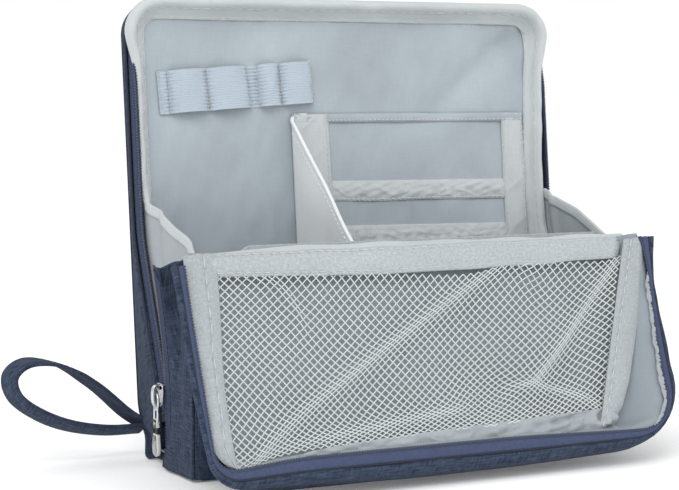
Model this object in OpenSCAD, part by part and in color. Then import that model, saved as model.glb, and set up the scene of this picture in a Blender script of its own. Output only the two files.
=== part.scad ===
// Zip-around travel toiletry organizer, standing open with its front flap folded down.
// X runs to the right, Y to the rear and Z up. The origin is the middle of the base's underside.
// The back half is drawn upright around its hinge line and then leaned back; the front flap is
// drawn hanging straight down from its fold line and then swung forward.

/* [Body] */
// Width across the outer fabric
width = 250; // [230:1:270]
// Depth of the base, from the lower front to the hinge line of the back half
base_depth = 69; // [66:1:76]
// Length of the back half above its hinge line
back_height = 235; // [225:1:245]
// How far the back half leans back
back_lean = 6; // [5:1:8]
// Height of the line that the front flap folds about
fold_height = 112; // [108:1:116]
// Length of the front flap below its fold line
flap_length = 120; // [112:1:120]
// How far the front flap stands out from the lower front
flap_lean = 23.4; // [23:0.1:26]
// How far the flap hangs to the left of the base
flap_shift = 4; // [0:0.5:5]

/* [Layers] */
// Thickness of the outer fabric
shell_t = 1.6; // [1.4:0.1:1.6]
// Thickness of the stiffening boards
board_t = 2; // [1.6:0.1:2]
// Thickness of the foam behind the back lining
foam_t = 5; // [4:0.5:5]
// Thickness of the lining and of the light inner panels
lining_t = 0.8; // [0.6:0.1:0.8]

/* [Zip] */
// Width of zip tape that shows between the outer fabric and the coil
tape_w = 9; // [8:0.5:9]
// Thickness of the zip tape
tape_t = 0.8; // [0.6:0.1:0.8]
// Thickness of the zip coil
coil_t = 1.8; // [1.6:0.1:1.8]
// Depth of the rim's walls on the front flap
flap_rim = 15; // [14:0.5:15]

/* [Hidden] */
$fn = 48;

navy = "#46526b";
navy_tape = "#56617f";
lining_blue = "#a9b3b9";
light_grey = "#c6cacb";
elastic_blue = "#c3ccd3";
board_grey = "#8d9296";
silver = "#c9ccd0";

half_w = width / 2;
front_y = -base_depth / 2;
hinge_y = base_depth / 2;
hinge_z = 2;
roll_r = 1.6;
corner_r = 12;

// Layers of the back half, along its own Y
back_rear = 8;
back_board_y = back_rear - shell_t - board_t;
back_foam_y = back_board_y - foam_t;
back_lining_y = back_foam_y - lining_t;
back_rim_y = -8;
foot_r = 18;

// The back half's zip runs straight up, but its lowest stretch slants forward to the slider
slant_top_z = 114;
slant_foot_z = 35;
slant_run = 25;
zip_foot_z = 16;

// Layers of the front flap, counted from its outer face towards the viewer
flap_lining_n = shell_t + board_t;
flap_inside_n = flap_lining_n + lining_t;
mesh_n = 12;
flap_corner_r = 16;

// Lower side walls and what they carry stand clear outside the back half's own walls
lower_wall_x = half_w + 1;
slider_y = 3;
slider_z = 38;

// ---------- Shared shapes ----------

function arc(cx, cy, r, from, to, steps = 6) =
    [for (i = [0:steps]) let (a = from + (to - from) * i / steps) [cx + r * cos(a), cy + r * sin(a)]];

// A panel with two round corners at its top end
function round_top(w, low, high, r) = concat(
    [[-w / 2, low], [w / 2, low]],
    arc(w / 2 - r, high - r, r, 0, 90),
    arc(-w / 2 + r, high - r, r, 90, 180));

// Where the back half's zip coil runs, and where its tape is sewn to the outer fabric
function zip_y(z) = back_rim_y - slant_run
    * max(0, min(1, (slant_top_z - z) / (slant_top_z - slant_foot_z)));
function seam_y(z) = zip_y(z) + tape_w;
zip_heights = [zip_foot_z, slant_foot_z, slant_top_z, back_height - corner_r];

// The round lower corner of the back half, in its own Y and Z
function foot(r) = arc(back_rear - foot_r, foot_r + 11, r, 0, -60);

// Extrude an outline drawn in Y and Z along X, from x to x + t
module across(points, x, t) {
    translate([x, 0, 0]) rotate([90, 0, 90]) linear_extrude(t) polygon(points);
}

// Extrude an outline drawn in X and Z along Y, from y to y + t
module along(y, t) {
    translate([0, y + t, 0]) rotate([90, 0, 0]) linear_extrude(t) children();
}

module both_sides() {
    children();
    mirror([1, 0, 0]) children();
}

module in_back() {
    translate([0, hinge_y, hinge_z]) rotate([-back_lean, 0, 0]) children();
}

module in_flap() {
    translate([-flap_shift, front_y, fold_height]) rotate([-flap_lean, 0, 0]) children();
}

// A flat layer of the flap, from n to n + t above its outer face
module flap_layer(n, t) {
    along(-n - t, t) children();
}

// A U-shaped outline: the edge of a round-topped panel, from inset_a to inset_b inside it
module u_ring(w, low, high, r, inset_a, inset_b) {
    difference() {
        polygon(round_top(w - 2 * inset_a, low, high - inset_a, r - inset_a));
        polygon(round_top(w - 2 * inset_b, low - 1, high - inset_b, max(1, r - inset_b)));
    }
}

module flap_ring(inset_a, inset_b, from_v) {
    mirror([0, 1]) u_ring(width, from_v, flap_length, flap_corner_r, inset_a, inset_b);
}

// A round rod from point a to point b
module rod(a, b, r) {
    d = b - a;
    translate(a)
        rotate([0, acos(d[2] / norm(d)), atan2(d[1], d[0])])
            cylinder(h = norm(d), r = r, $fn = 16);
}

// ---------- Base and lower front ----------

module base_shell() {
    color(navy)
        translate([-half_w, front_y + shell_t, 0])
            cube([width, base_depth - shell_t - roll_r - 0.6, shell_t]);
}

module base_board() {
    color(board_grey)
        translate([-half_w + 6, front_y + 3, shell_t]) cube([width - 12, base_depth - 11, board_t]);
}

module base_lining() {
    color(lining_blue)
        translate([-half_w + 5, front_y + 5, shell_t + board_t])
            cube([width - 10, base_depth - 14, lining_t]);
}

module lower_front_shell() {
    color(navy)
        translate([-half_w, front_y, 0]) cube([width, shell_t, fold_height - 2]);
}

module lower_front_board() {
    color(board_grey)
        translate([-half_w + 6, front_y + shell_t, 4.6]) cube([width - 12, board_t, fold_height - 11]);
}

module lower_front_lining() {
    color(lining_blue)
        translate([-half_w + 5, front_y + shell_t + board_t, 4.6])
            cube([width - 10, lining_t, fold_height - 8]);
}

// Corners of the lower side wall. Its rear rim stays clear of the slider, which comes forward as
// the back half tilts, bows rearwards so that the wall is one convex piece, and splays out towards
// the fold.
wall_rim_y = -12.5;
wall_post = [shell_t, 1, 1];
wall_rim = [
    [lower_wall_x, wall_rim_y, 10],
    [lower_wall_x, wall_rim_y, slider_z + 9],
    [lower_wall_x + 8, wall_rim_y - 3, 79],
    [lower_wall_x + 16, -29, fold_height - 6]
];

// Behind the rim come a gap, the tape, a gap and the coil
tape_gap = 0.6;
coil_gap = 1.2;
lower_tape_w = 8;
lower_tape_step = [0.4, wall_post[1] + tape_gap, 0];
lower_coil_step = lower_tape_step + [0.4, lower_tape_w + coil_gap + coil_t / 2, 0];
// Each straight stretch of the coil stops just short of the next
coil_break = 1;

module lower_wall() {
    hull() {
        for (p = wall_rim) translate(p) cube(wall_post);
        translate([lower_wall_x, front_y, 10]) cube(wall_post);
        translate([lower_wall_x, front_y + 1, fold_height - 6]) cube(wall_post);
    }
    across([[front_y, 0], [hinge_y - 3, 0], [hinge_y - 3, 3], [0, 10], [front_y, 10]],
           lower_wall_x, shell_t);
}

module lower_wall_left() {
    color(navy) mirror([1, 0, 0]) lower_wall();
}

module lower_wall_right() {
    color(navy) lower_wall();
}

module lower_zip_tape() {
    strip = [tape_t, lower_tape_w, 0.8];
    color(navy_tape)
        both_sides()
            for (i = [0:2])
                hull()
                    for (p = [wall_rim[i], wall_rim[i + 1]])
                        translate(p + lower_tape_step) cube(strip);
}

module lower_zip_coil() {
    color(navy)
        both_sides()
            for (i = [0:2])
                rod(wall_rim[i] + lower_coil_step,
                    wall_rim[i + 1] + lower_coil_step - [0, 0, coil_break], coil_t / 2);
}

// Pleated fabric that closes each side between the back half and the lower front
module gusset() {
    rear_foot = hinge_y + back_rim_y;
    rear_top = rear_foot + 132 * sin(back_lean);
    across([[front_y + 6.2, 5], [rear_foot - 0.4, 5], [rear_top - 0.6, 130], [front_y + 9, 107]],
           half_w - 4, lining_t);
}

module gusset_left() {
    color(light_grey) mirror([1, 0, 0]) gusset();
}

module gusset_right() {
    color(light_grey) gusset();
}

divider_x = -35;
divider_front = [divider_x, front_y + 6.4, 112];
divider_rear = [divider_x, hinge_y + 12, 174];

module divider() {
    drop = 2;
    color(light_grey)
        across([[divider_front[1], 5], [hinge_y - 5.6, 5],
                [divider_rear[1], divider_rear[2] - drop],
                [divider_front[1], divider_front[2] - drop]],
               divider_x - lining_t / 2, lining_t);
}

module divider_piping() {
    color(light_grey) rod(divider_front, divider_rear, 1.2);
}

// ---------- Zipped pocket inside the lower front ----------

pocket_y = front_y + shell_t + board_t + lining_t;
pocket_zip_z = 109;
pocket_zip_half = 106;
pocket_slider_x = -86;

module zip_pocket_panel() {
    color(light_grey)
        translate([-half_w + 14, pocket_y, 14])
            cube([width - 28, lining_t, pocket_zip_z - 20]);
}

module zip_pocket_tape() {
    color(light_grey)
        for (z = [pocket_zip_z - 6, pocket_zip_z + coil_t])
            translate([-half_w + 14, pocket_y, z]) cube([width - 28, tape_t, 6 - coil_t]);
}

module zip_pocket_coil() {
    color("#dfe2e3")
        translate([-pocket_zip_half, pocket_y, pocket_zip_z - coil_t])
            cube([2 * pocket_zip_half, coil_t, 2 * coil_t]);
}

// The bridge is narrower than the gap between the pull's arms, so that the pull swings over it
bridge_w = 2.6;

module pocket_slider() {
    color(silver)
        translate([pocket_slider_x, pocket_y + coil_t + 0.4, pocket_zip_z]) {
            translate([-5, 0, -3.8]) cube([10, 1, 7.6]);
            for (z = [-2, 1.2]) translate([-bridge_w / 2, 1, z]) cube([bridge_w, 2.4, 0.8]);
            translate([-bridge_w / 2, 3.4, -2]) cube([bridge_w, 0.8, 4]);
        }
}

// The pull's cross bar lies under the slider's bridge and is the axis it swings about
pocket_pin = [pocket_slider_x, pocket_y + coil_t + 3.1, pocket_zip_z];

module pocket_pull() {
    arm = 3.4;
    color(silver)
        translate(pocket_pin) {
            translate([-2.5, -0.55, -14]) cube([5, 1.1, 14 - arm]);
            translate([-2.5, 0, 0]) rotate([0, 90, 0]) cylinder(h = 5, r = 0.6);
            for (x = [-2.5, 1.6]) translate([x, -0.55, -arm]) cube([0.9, 1.1, arm]);
        }
}

// ---------- Rolled fabric at the two fold lines ----------

module front_fold() {
    color(navy)
        translate([-half_w, front_y, fold_height]) rotate([0, 90, 0]) cylinder(h = width, r = roll_r);
}

module rear_fold() {
    color(navy)
        translate([-half_w, hinge_y, hinge_z]) rotate([0, 90, 0]) cylinder(h = width, r = roll_r);
}

// ---------- Back half ----------

// The rear panel's section: flat above, round at the foot, ending just above its fold line
module back_shell() {
    section = concat(
        [[back_rear, back_height]], foot(foot_r), [[-0.6, 2.2]],
        [[-0.6 - shell_t, 2.2]], [for (i = [6:-1:0]) foot(foot_r - shell_t)[i]],
        [[back_rear - shell_t, back_height]]);
    color(navy)
        in_back()
            intersection() {
                across(section, -half_w, width);
                along(-20, 40) polygon(round_top(width, 0, back_height, corner_r));
            }
}

module back_board() {
    color(board_grey)
        in_back() along(back_board_y, board_t)
            polygon(round_top(width - 12, 30, back_height - 4, corner_r - 4));
}

module back_foam() {
    color("#e8e8e4")
        in_back() along(back_foam_y, foam_t)
            polygon(round_top(width - 8, 30, back_height - 3, corner_r - 3));
}

module back_lining() {
    color(lining_blue)
        in_back() along(back_lining_y, lining_t)
            polygon(round_top(width - 8, 18, back_height - 3, corner_r - 3));
}

module back_wall() {
    edge = back_rear - shell_t;
    in_back()
        across(concat(
            [[edge, back_height - corner_r]], foot(foot_r - shell_t),
            [for (z = zip_heights) [seam_y(z), z]]),
            half_w - shell_t, shell_t);
}

module back_wall_left() {
    color(navy) mirror([1, 0, 0]) back_wall();
}

module back_wall_right() {
    color(navy) back_wall();
}

module back_wall_top() {
    low = back_height - corner_r;
    color(navy)
        in_back() along(seam_y(low), back_rear - shell_t - seam_y(low))
            u_ring(width, low, back_height, corner_r, 0, shell_t);
}

module back_binding() {
    color(light_grey)
        in_back() along(back_lining_y - 2, 2)
            u_ring(width - 2 * shell_t, 18, back_height - shell_t, corner_r - shell_t, 0.2, 11);
}

// The tape stands on the walls' front edge, down both sides and over the top
module back_zip_tape() {
    low = back_height - corner_r;
    sides = concat([for (z = zip_heights) [zip_y(z), z]],
                   [for (i = [3:-1:0]) [seam_y(zip_heights[i]), zip_heights[i]]]);
    color(navy_tape)
        in_back() {
            both_sides() across(sides, half_w - tape_t, tape_t);
            along(back_rim_y, tape_w) u_ring(width, low, back_height, corner_r, 0, tape_t);
        }
}

module back_zip_coil() {
    low = back_height - corner_r;
    sides = concat([for (z = zip_heights) [zip_y(z) - coil_t, z]],
                   [for (i = [3:-1:0]) [zip_y(zip_heights[i]), zip_heights[i]]]);
    color(navy)
        in_back() {
            both_sides() across(sides, half_w - coil_t + 0.4, coil_t);
            along(back_rim_y - coil_t, coil_t)
                u_ring(width + 0.8, low, back_height + 0.4, corner_r + 0.4, 0, coil_t);
        }
}

// Elastic band: four puffed loops between rows of stitches
band_x = -110;
band_z = 188;
band_tilt = 3.6;
band_h = 22.6;
loop_edges = [0, 6, 26, 28, 50, 57, 68, 70, 88];

module elastic_band() {
    color(elastic_blue)
        in_back()
            translate([band_x, back_lining_y, band_z])
                rotate([0, -band_tilt, 0])
                    for (i = [0:7]) {
                        puff = i % 2 == 0 ? 1 : 2.6;
                        translate([loop_edges[i], -puff, -band_h / 2])
                            cube([loop_edges[i + 1] - loop_edges[i], puff, band_h]);
                    }
}

// Card pockets: a backing panel, a light strip down each side and two gathered bands
card_low = 42;
card_high = 176;
card_left = -35;
card_right = 111;
card_inner_left = -13;
card_inner_right = 97;
card_y = back_lining_y - 1.6;

module card_panel() {
    color(lining_blue)
        in_back() translate([card_left + 0.6, card_y, card_low])
            cube([card_right - card_left - 0.6, 1.6, card_high - card_low]);
}

module card_strip(x0, x1, z0, z1) {
    in_back() translate([x0, card_y - 1, z0]) cube([x1 - x0, 1, z1 - z0]);
}

module card_side_left() {
    color(light_grey) card_strip(card_left + 0.6, card_inner_left, card_low, card_high);
}

module card_side_right() {
    color(light_grey) card_strip(card_inner_right, card_right, card_low, card_high);
}

module card_band_upper() {
    color(light_grey) card_strip(card_inner_left, card_inner_right, 132, 141);
}

module card_band_lower() {
    color(light_grey) card_strip(card_inner_left, card_inner_right, 106, 117.6);
}

// ---------- Front flap ----------

module flap_shell() {
    color(navy)
        in_flap() flap_layer(0, shell_t)
            mirror([0, 1]) polygon(round_top(width, 2.4, flap_length, flap_corner_r));
}

module flap_board() {
    color(board_grey)
        in_flap() flap_layer(shell_t, board_t)
            mirror([0, 1]) polygon(round_top(width - 16, 10, flap_length - 7, flap_corner_r - 6));
}

module flap_lining() {
    color(lining_blue)
        in_flap() flap_layer(flap_lining_n, lining_t)
            mirror([0, 1]) polygon(round_top(width - 8, 8, flap_length - 4, flap_corner_r - 4));
}

// The side walls stand up from the flap and splay out beside the fold
module flap_wall() {
    tall = flap_rim - shell_t;
    low = flap_length - flap_corner_r;
    hull() {
        translate([half_w - shell_t, -flap_rim, -low]) cube([shell_t, tall, 1]);
        translate([half_w + 3, -flap_rim, -30]) cube([shell_t, 1, 1]);
        translate([half_w - shell_t, -shell_t - 1, -6]) cube([shell_t, 1, 1]);
        translate([half_w + 16, -shell_t - 3, -6]) cube([shell_t, 1, 1]);
    }
}

module flap_wall_left() {
    color(navy) in_flap() mirror([1, 0, 0]) flap_wall();
}

module flap_wall_right() {
    color(navy) in_flap() flap_wall();
}

module flap_wall_end() {
    color(navy)
        in_flap() flap_layer(shell_t, flap_rim - shell_t)
            flap_ring(0, shell_t, flap_length - flap_corner_r);
}

module flap_zip_tape() {
    color(navy_tape)
        in_flap() flap_layer(flap_rim, tape_t) flap_ring(0, tape_w, 32);
}

module flap_zip_coil() {
    color(navy)
        in_flap() flap_layer(flap_rim - 0.5, coil_t) flap_ring(tape_w, tape_w + coil_t, 32);
}

// ---------- Mesh pocket on the flap ----------

mesh_left = -110;
mesh_right = 104;
mesh_top = 15;
mesh_low = 102;

module flap_box(x0, x1, v0, v1, n, t) {
    in_flap() translate([x0, -n - t, -v1]) cube([x1 - x0, t, v1 - v0]);
}

module mesh_panel() {
    color("#b9c0c2") flap_box(mesh_left, mesh_right, mesh_top, mesh_low, mesh_n, 0.8);
}

module mesh_hem() {
    color(light_grey) flap_box(-half_w + 5, half_w - 5, 3, mesh_top, mesh_n - 1, 1.8);
}

module mesh_binding_left() {
    color(light_grey)
        flap_box(mesh_left - 9.6, mesh_left, mesh_top, mesh_low, flap_inside_n, mesh_n + 1 - flap_inside_n);
}

module mesh_binding_right() {
    color(light_grey)
        flap_box(mesh_right, mesh_right + 9.6, mesh_top, mesh_low, flap_inside_n,
                 mesh_n + 1 - flap_inside_n);
}

module mesh_bottom_strip() {
    color(light_grey)
        flap_box(mesh_left - 4, mesh_right + 4, mesh_low, mesh_low + 7, flap_inside_n,
                 mesh_n + 1 - flap_inside_n);
}

// ---------- Main slider and its pull ----------

pull_pin = [-half_w - 6, slider_y, slider_z];

module main_slider() {
    inner_x = -half_w + 1.9;
    outer_x = -half_w - 3.4;
    color(silver) {
        translate([inner_x, slider_y - 4.5, slider_z - 6]) cube([0.8, 9, 12]);
        translate([outer_x - 1, slider_y - 4.5, slider_z - 6]) cube([1, 9, 12]);
        translate([outer_x, slider_y - 1.6, slider_z + 3.6]) cube([inner_x - outer_x, 1.4, 2]);
        for (z = [-5, 3.6])
            translate([outer_x - 4.4, slider_y - 1, slider_z + z]) cube([3.4, 2, 1.4]);
        translate([outer_x - 5.2, slider_y - 1, slider_z - 5]) cube([0.8, 2, 10]);
    }
}

// The frame hangs from a cross bar under the slider's bridge
module main_pull() {
    arm = 1.2;
    drop = 14;
    color(silver)
        translate(pull_pin) {
            translate([0, -4, 0]) rotate([-90, 0, 0]) cylinder(h = 8, r = 0.8);
            for (y = [-4, 4 - arm]) translate([-0.8, y, -drop]) cube([1.6, arm, drop]);
            translate([-0.8, -4, -drop - 2]) cube([1.6, 8, 2]);
        }
}

module main_pull_grip() {
    color("#d8d6cf")
        translate(pull_pin)
            hull() {
                translate([-1, -3, -18.6]) cube([2, 6, 2.6]);
                translate([-1, 0, -27.4]) rotate([0, 90, 0]) cylinder(h = 2, r = 4.2, $fn = 32);
            }
}

// ---------- Wrist strap ----------

strap_root = [-half_w - 4.5, hinge_y + 6.5, 17];
strap_reach = 73;
strap_rise = 24;
strap_t = 2.4;
strap_w = 9;

// A leaf-shaped loop that leaves the side seam and rises as it stands out
module wrist_strap() {
    loop = [for (a = [-43:2:43]) let (r = 3 + strap_reach * pow(cos(2 * a), 1.15))
        [-r * cos(strap_rise + a), r * sin(strap_rise + a)]];
    color(navy)
        translate(strap_root)
            along(-strap_w / 2, strap_w)
                difference() {
                    polygon(loop);
                    offset(delta = -strap_t) polygon(loop);
                }
}

base_shell();
base_board();
base_lining();
lower_front_shell();
lower_front_board();
lower_front_lining();
lower_wall_left();
lower_wall_right();
lower_zip_tape();
lower_zip_coil();
gusset_left();
gusset_right();
divider();
divider_piping();
zip_pocket_panel();
zip_pocket_tape();
zip_pocket_coil();
front_fold();
rear_fold();
back_shell();
back_board();
back_foam();
back_lining();
back_wall_left();
back_wall_right();
back_wall_top();
back_binding();
back_zip_tape();
back_zip_coil();
elastic_band();
card_panel();
card_side_left();
card_side_right();
card_band_upper();
card_band_lower();
flap_shell();
flap_board();
flap_lining();
flap_wall_left();
flap_wall_right();
flap_wall_end();
flap_zip_tape();
flap_zip_coil();
mesh_panel();
mesh_hem();
mesh_binding_left();
mesh_binding_right();
mesh_bottom_strip();
main_slider();
main_pull();
main_pull_grip();
pocket_slider();
pocket_pull();
wrist_strap();
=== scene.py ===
# %% [markdown]
# # A travel toiletry organizer, standing open
# The bag is cut cloth, board, foam and zips. Its stiff skeleton already exists as a imported model
# with joints. This lesson dresses that skeleton: each cloth piece is a surface worked out with
# numpy, sewn down with real stitches, and tied to the body that carries it, unless it crosses a
# joint.

# %% Load the skeleton
import math

import bpy
import numpy as np
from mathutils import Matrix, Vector


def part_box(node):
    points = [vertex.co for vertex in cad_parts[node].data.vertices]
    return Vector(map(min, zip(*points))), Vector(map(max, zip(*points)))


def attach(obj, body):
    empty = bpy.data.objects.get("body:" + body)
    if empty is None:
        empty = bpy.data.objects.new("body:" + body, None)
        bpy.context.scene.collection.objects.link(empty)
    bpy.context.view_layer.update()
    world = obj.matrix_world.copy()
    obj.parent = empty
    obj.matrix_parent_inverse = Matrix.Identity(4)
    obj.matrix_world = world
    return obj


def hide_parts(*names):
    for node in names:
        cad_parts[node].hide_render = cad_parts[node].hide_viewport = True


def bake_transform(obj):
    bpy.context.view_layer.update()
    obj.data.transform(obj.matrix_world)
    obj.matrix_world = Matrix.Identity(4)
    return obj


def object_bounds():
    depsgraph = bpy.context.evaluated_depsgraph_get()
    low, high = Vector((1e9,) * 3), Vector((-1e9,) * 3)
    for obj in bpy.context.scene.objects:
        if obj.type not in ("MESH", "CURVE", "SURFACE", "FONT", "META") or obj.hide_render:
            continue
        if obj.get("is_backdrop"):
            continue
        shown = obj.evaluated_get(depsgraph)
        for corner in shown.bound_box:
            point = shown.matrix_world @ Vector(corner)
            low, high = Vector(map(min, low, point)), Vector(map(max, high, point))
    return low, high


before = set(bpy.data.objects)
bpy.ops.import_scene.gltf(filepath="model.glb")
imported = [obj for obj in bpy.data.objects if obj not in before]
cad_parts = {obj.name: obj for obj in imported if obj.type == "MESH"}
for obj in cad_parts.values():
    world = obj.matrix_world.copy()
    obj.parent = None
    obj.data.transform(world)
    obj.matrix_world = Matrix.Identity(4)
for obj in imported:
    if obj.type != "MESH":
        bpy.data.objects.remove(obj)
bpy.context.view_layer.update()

# %% [markdown]
# ## The camera comes first
# A long lens a metre away keeps the upright edges nearly parallel. The camera stands to the left
# of the bag and looks very slightly down, so the shapes can be judged from there as they are made.

# %% Camera
MM = 0.001
AZIMUTH = math.radians(26.44)
PITCH = math.radians(4.75)
EYE = np.array([-471.39, -888.86, 192.70])

lens = bpy.data.cameras.new("camera")
lens.lens, lens.sensor_width = 101.05, 36.0
lens.clip_start, lens.clip_end = 0.05, 50.0
camera = bpy.data.objects.new("camera", lens)
camera.location = EYE * MM
camera.rotation_euler = (math.pi / 2 - PITCH, 0.0, -AZIMUTH)
bpy.context.scene.collection.objects.link(camera)
bpy.context.scene.camera = camera
print("camera at", tuple(round(x, 3) for x in camera.location))

# %% [markdown]
# ## Reading the frame
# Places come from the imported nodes, so the cloth follows the skeleton if a dimension changes.
# All the cloth is drawn in millimetres and turned into metres when a mesh is made.


# %% Driving places, in millimetres
def mm_box(node):
    """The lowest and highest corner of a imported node, in millimetres."""
    low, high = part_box(node)
    return np.array(low) / MM, np.array(high) / MM


HALF_W = mm_box("base_shell")[1][0]
FRONT_Y = mm_box("lower_front_shell")[0][1]
FOLD_Z = sum(mm_box("front_fold"))[2] / 2
HINGE_Y = sum(mm_box("rear_fold"))[1] / 2
HINGE_Z = sum(mm_box("rear_fold"))[2] / 2
BACK_LEAN, FLAP_LEAN = math.radians(6), math.radians(23.4)
BACK_H, FLAP_L = 235.0, 120.0
OUTER = 1.4  # thickness of the outer cloth
# Depths on the back half: its rear panel, its lining, and the rim that carries the zip
REAR, LINING_Y, RIM_Y = 8.0, -1.4, -8.0
print("half width", round(HALF_W, 2), "fold at", round(FOLD_Z, 2), "hinge", HINGE_Y, HINGE_Z)


# %% Two leaning spaces
def stack(*parts):
    """Joins coordinates, numbers or arrays, into one array of points."""
    return np.stack(np.broadcast_arrays(*parts), -1).astype(float)


def in_back(x, depth, z):
    """Turns points drawn on the upright back half back by its lean."""
    c, s = math.cos(BACK_LEAN), math.sin(BACK_LEAN)
    return stack(x, HINGE_Y + depth * c + z * s, HINGE_Z - depth * s + z * c)


def in_flap(x, v, n):
    """Turns points on the flap, at a distance v down it and n off its outer face, into place."""
    c, s = math.cos(FLAP_LEAN), math.sin(FLAP_LEAN)
    return stack(x, FRONT_Y - n * c - v * s, FOLD_Z + n * s - v * c)


# %% [markdown]
# ## Small geometry helpers
# A shape here is a triple: points, faces and flat coordinates in metres along the cloth. Keeping
# the flat coordinates lets a weave follow the cloth round every bend at its true size.


# %% Grids, paths and soft creases
def grid(nu, nv):
    """Two parameters running from 0 to 1 over a grid of nu by nv points."""
    return np.meshgrid(np.linspace(0, 1, nu), np.linspace(0, 1, nv), indexing="ij")


def lerp(a, b, t):
    """A point a share t of the way from a to b."""
    return a + (b - a) * t


def smooth(t):
    """Eases from 0 to 1 with flat ends: 3t^2 - 2t^3."""
    t = np.clip(t, 0, 1)
    return t * t * (3 - 2 * t)


def hump(t):
    """Rises from 0 to 1 half way along and falls to 0 again: sin(pi t)."""
    return np.sin(math.pi * t)


def unit(p):
    """Vectors brought to length 1, along the last axis."""
    return p / np.maximum(np.linalg.norm(p, axis=-1, keepdims=True), 1e-9)


def around(count):
    """That many angles at equal steps round a full turn."""
    return np.linspace(0, 2 * math.pi, count, endpoint=False)


def distances(points):
    """How far along a path each of its points lies."""
    return np.concatenate([[0], np.cumsum(np.linalg.norm(np.diff(points, axis=0), axis=1))])


def read_at(at, run, points):
    """Every column of a path, read off at some distances along it."""
    return np.stack([np.interp(at, run, column) for column in points.T], -1)


def along(points, count):
    """The same path with count points at equal steps of its own length."""
    points = np.asarray(points, float)
    run = distances(points)
    return read_at(np.linspace(0, run[-1], count), run, points)


def curve(points, count):
    """A smooth path through a few points: a Catmull-Rom cubic between each pair."""
    p = np.asarray(points, float)
    p = np.concatenate([2 * p[:1] - p[1:2], p, 2 * p[-1:] - p[-2:-1]])
    at = np.linspace(0, len(p) - 3, 40 * len(p))
    k = np.minimum(at.astype(int), len(p) - 4)
    t = (at - k)[:, None]
    a, b, c, d = p[k], p[k + 1], p[k + 2], p[k + 3]
    return along(b + t / 2 * (c - a + t * (2 * a - 5 * b + 4 * c - d + t * (3 * b - 3 * c + d - a))),
                 count)


def length_of(points):
    """The length of a path."""
    return float(np.linalg.norm(np.diff(points, axis=0), axis=1).sum())


def ripple(a, b, seed, wave, stretch=1.0, count=8):
    """Soft waves from -1 to 1: cosines of seeded direction, length and phase, averaged."""
    rng = np.random.default_rng(seed)
    total = np.zeros(np.broadcast(a, b).shape)
    for angle, size, phase in rng.uniform([0, 0.6, 0], [math.pi, 1.6, 2 * math.pi], (count, 3)):
        ahead = a * math.cos(angle) * stretch + b * math.sin(angle)
        total += np.cos(2 * math.pi * ahead / (wave * size) + phase)
    return total / math.sqrt(count)


def creases(a, b, seed, wave, stretch=1.0):
    """Thin ridges where a ripple crosses zero: (1 - |ripple|)^4, as pressed cloth keeps them."""
    return np.clip(1 - np.abs(ripple(a, b, seed, wave, stretch)), 0, 1) ** 4


def normals(p):
    """Unit normals of a grid: the cross product of its two directions."""
    return unit(np.cross(np.gradient(p, axis=0), np.gradient(p, axis=1)))


def runs(p):
    """How far each point of a grid lies along its first and along its second direction."""
    steps = [np.linalg.norm(np.diff(p, axis=k), axis=-1) for k in (0, 1)]
    return [np.insert(np.cumsum(step, axis=k), 0, 0, axis=k) for k, step in enumerate(steps)]


# %% Faces of a grid, and cloth with a thickness
def quads(nu, nv, loop_v=False):
    """Four corners for each cell of a grid whose points run row by row."""
    i, j = np.meshgrid(np.arange(nu - 1), np.arange(nv if loop_v else nv - 1), indexing="ij")
    k = (j + 1) % nv
    return np.stack([i * nv + j, (i + 1) * nv + j, (i + 1) * nv + k, i * nv + k], -1).reshape(-1, 4)


def cloth(p, thick=0.8):
    """A closed sheet: the grid moved half its thickness each way, joined round its edge."""
    nu, nv, _ = p.shape
    lift = normals(p) * thick / 2
    count = nu * nv
    face = quads(nu, nv)
    index = np.arange(count).reshape(nu, nv)
    edge = np.concatenate([index[:, 0], index[-1, 1:], index[-2::-1, -1], index[0, -2:0:-1]])
    after = np.roll(edge, -1)
    rim = np.stack([after, edge, edge + count, after + count], -1)
    points = np.concatenate([(p + lift).reshape(-1, 3), (p - lift).reshape(-1, 3)])
    flat = np.stack(runs(p), -1).reshape(-1, 2) * MM
    return points, [face, face[:, ::-1] + count, rim], np.concatenate([flat, flat])


def tube(path, radius=1.0, sides=8, flat=1.0, up=(0, 0, 1)):
    """A rod along a path: rings square to it, as wide as radius and flat times as thick."""
    path = np.asarray(path, float)
    ahead = unit(np.gradient(path, axis=0))
    side = unit(np.cross(ahead, np.broadcast_to(up, path.shape)))
    over = np.cross(side, ahead)
    turn = around(sides)
    radius = np.broadcast_to(radius, len(path))[:, None, None]
    ring = (side[:, None] * np.cos(turn)[None, :, None]
            + over[:, None] * flat * np.sin(turn)[None, :, None])
    p = path[:, None] + radius * ring
    n = len(path)
    face = quads(n, sides, loop_v=True)[:, ::-1]
    caps = [np.arange(sides)[None], (np.arange(sides)[::-1] + (n - 1) * sides)[None]]
    coords = stack(distances(path)[:, None], turn[None] * radius[:, :, 0]) * MM
    return p.reshape(-1, 3), [face, *caps], coords.reshape(-1, 2)


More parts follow.
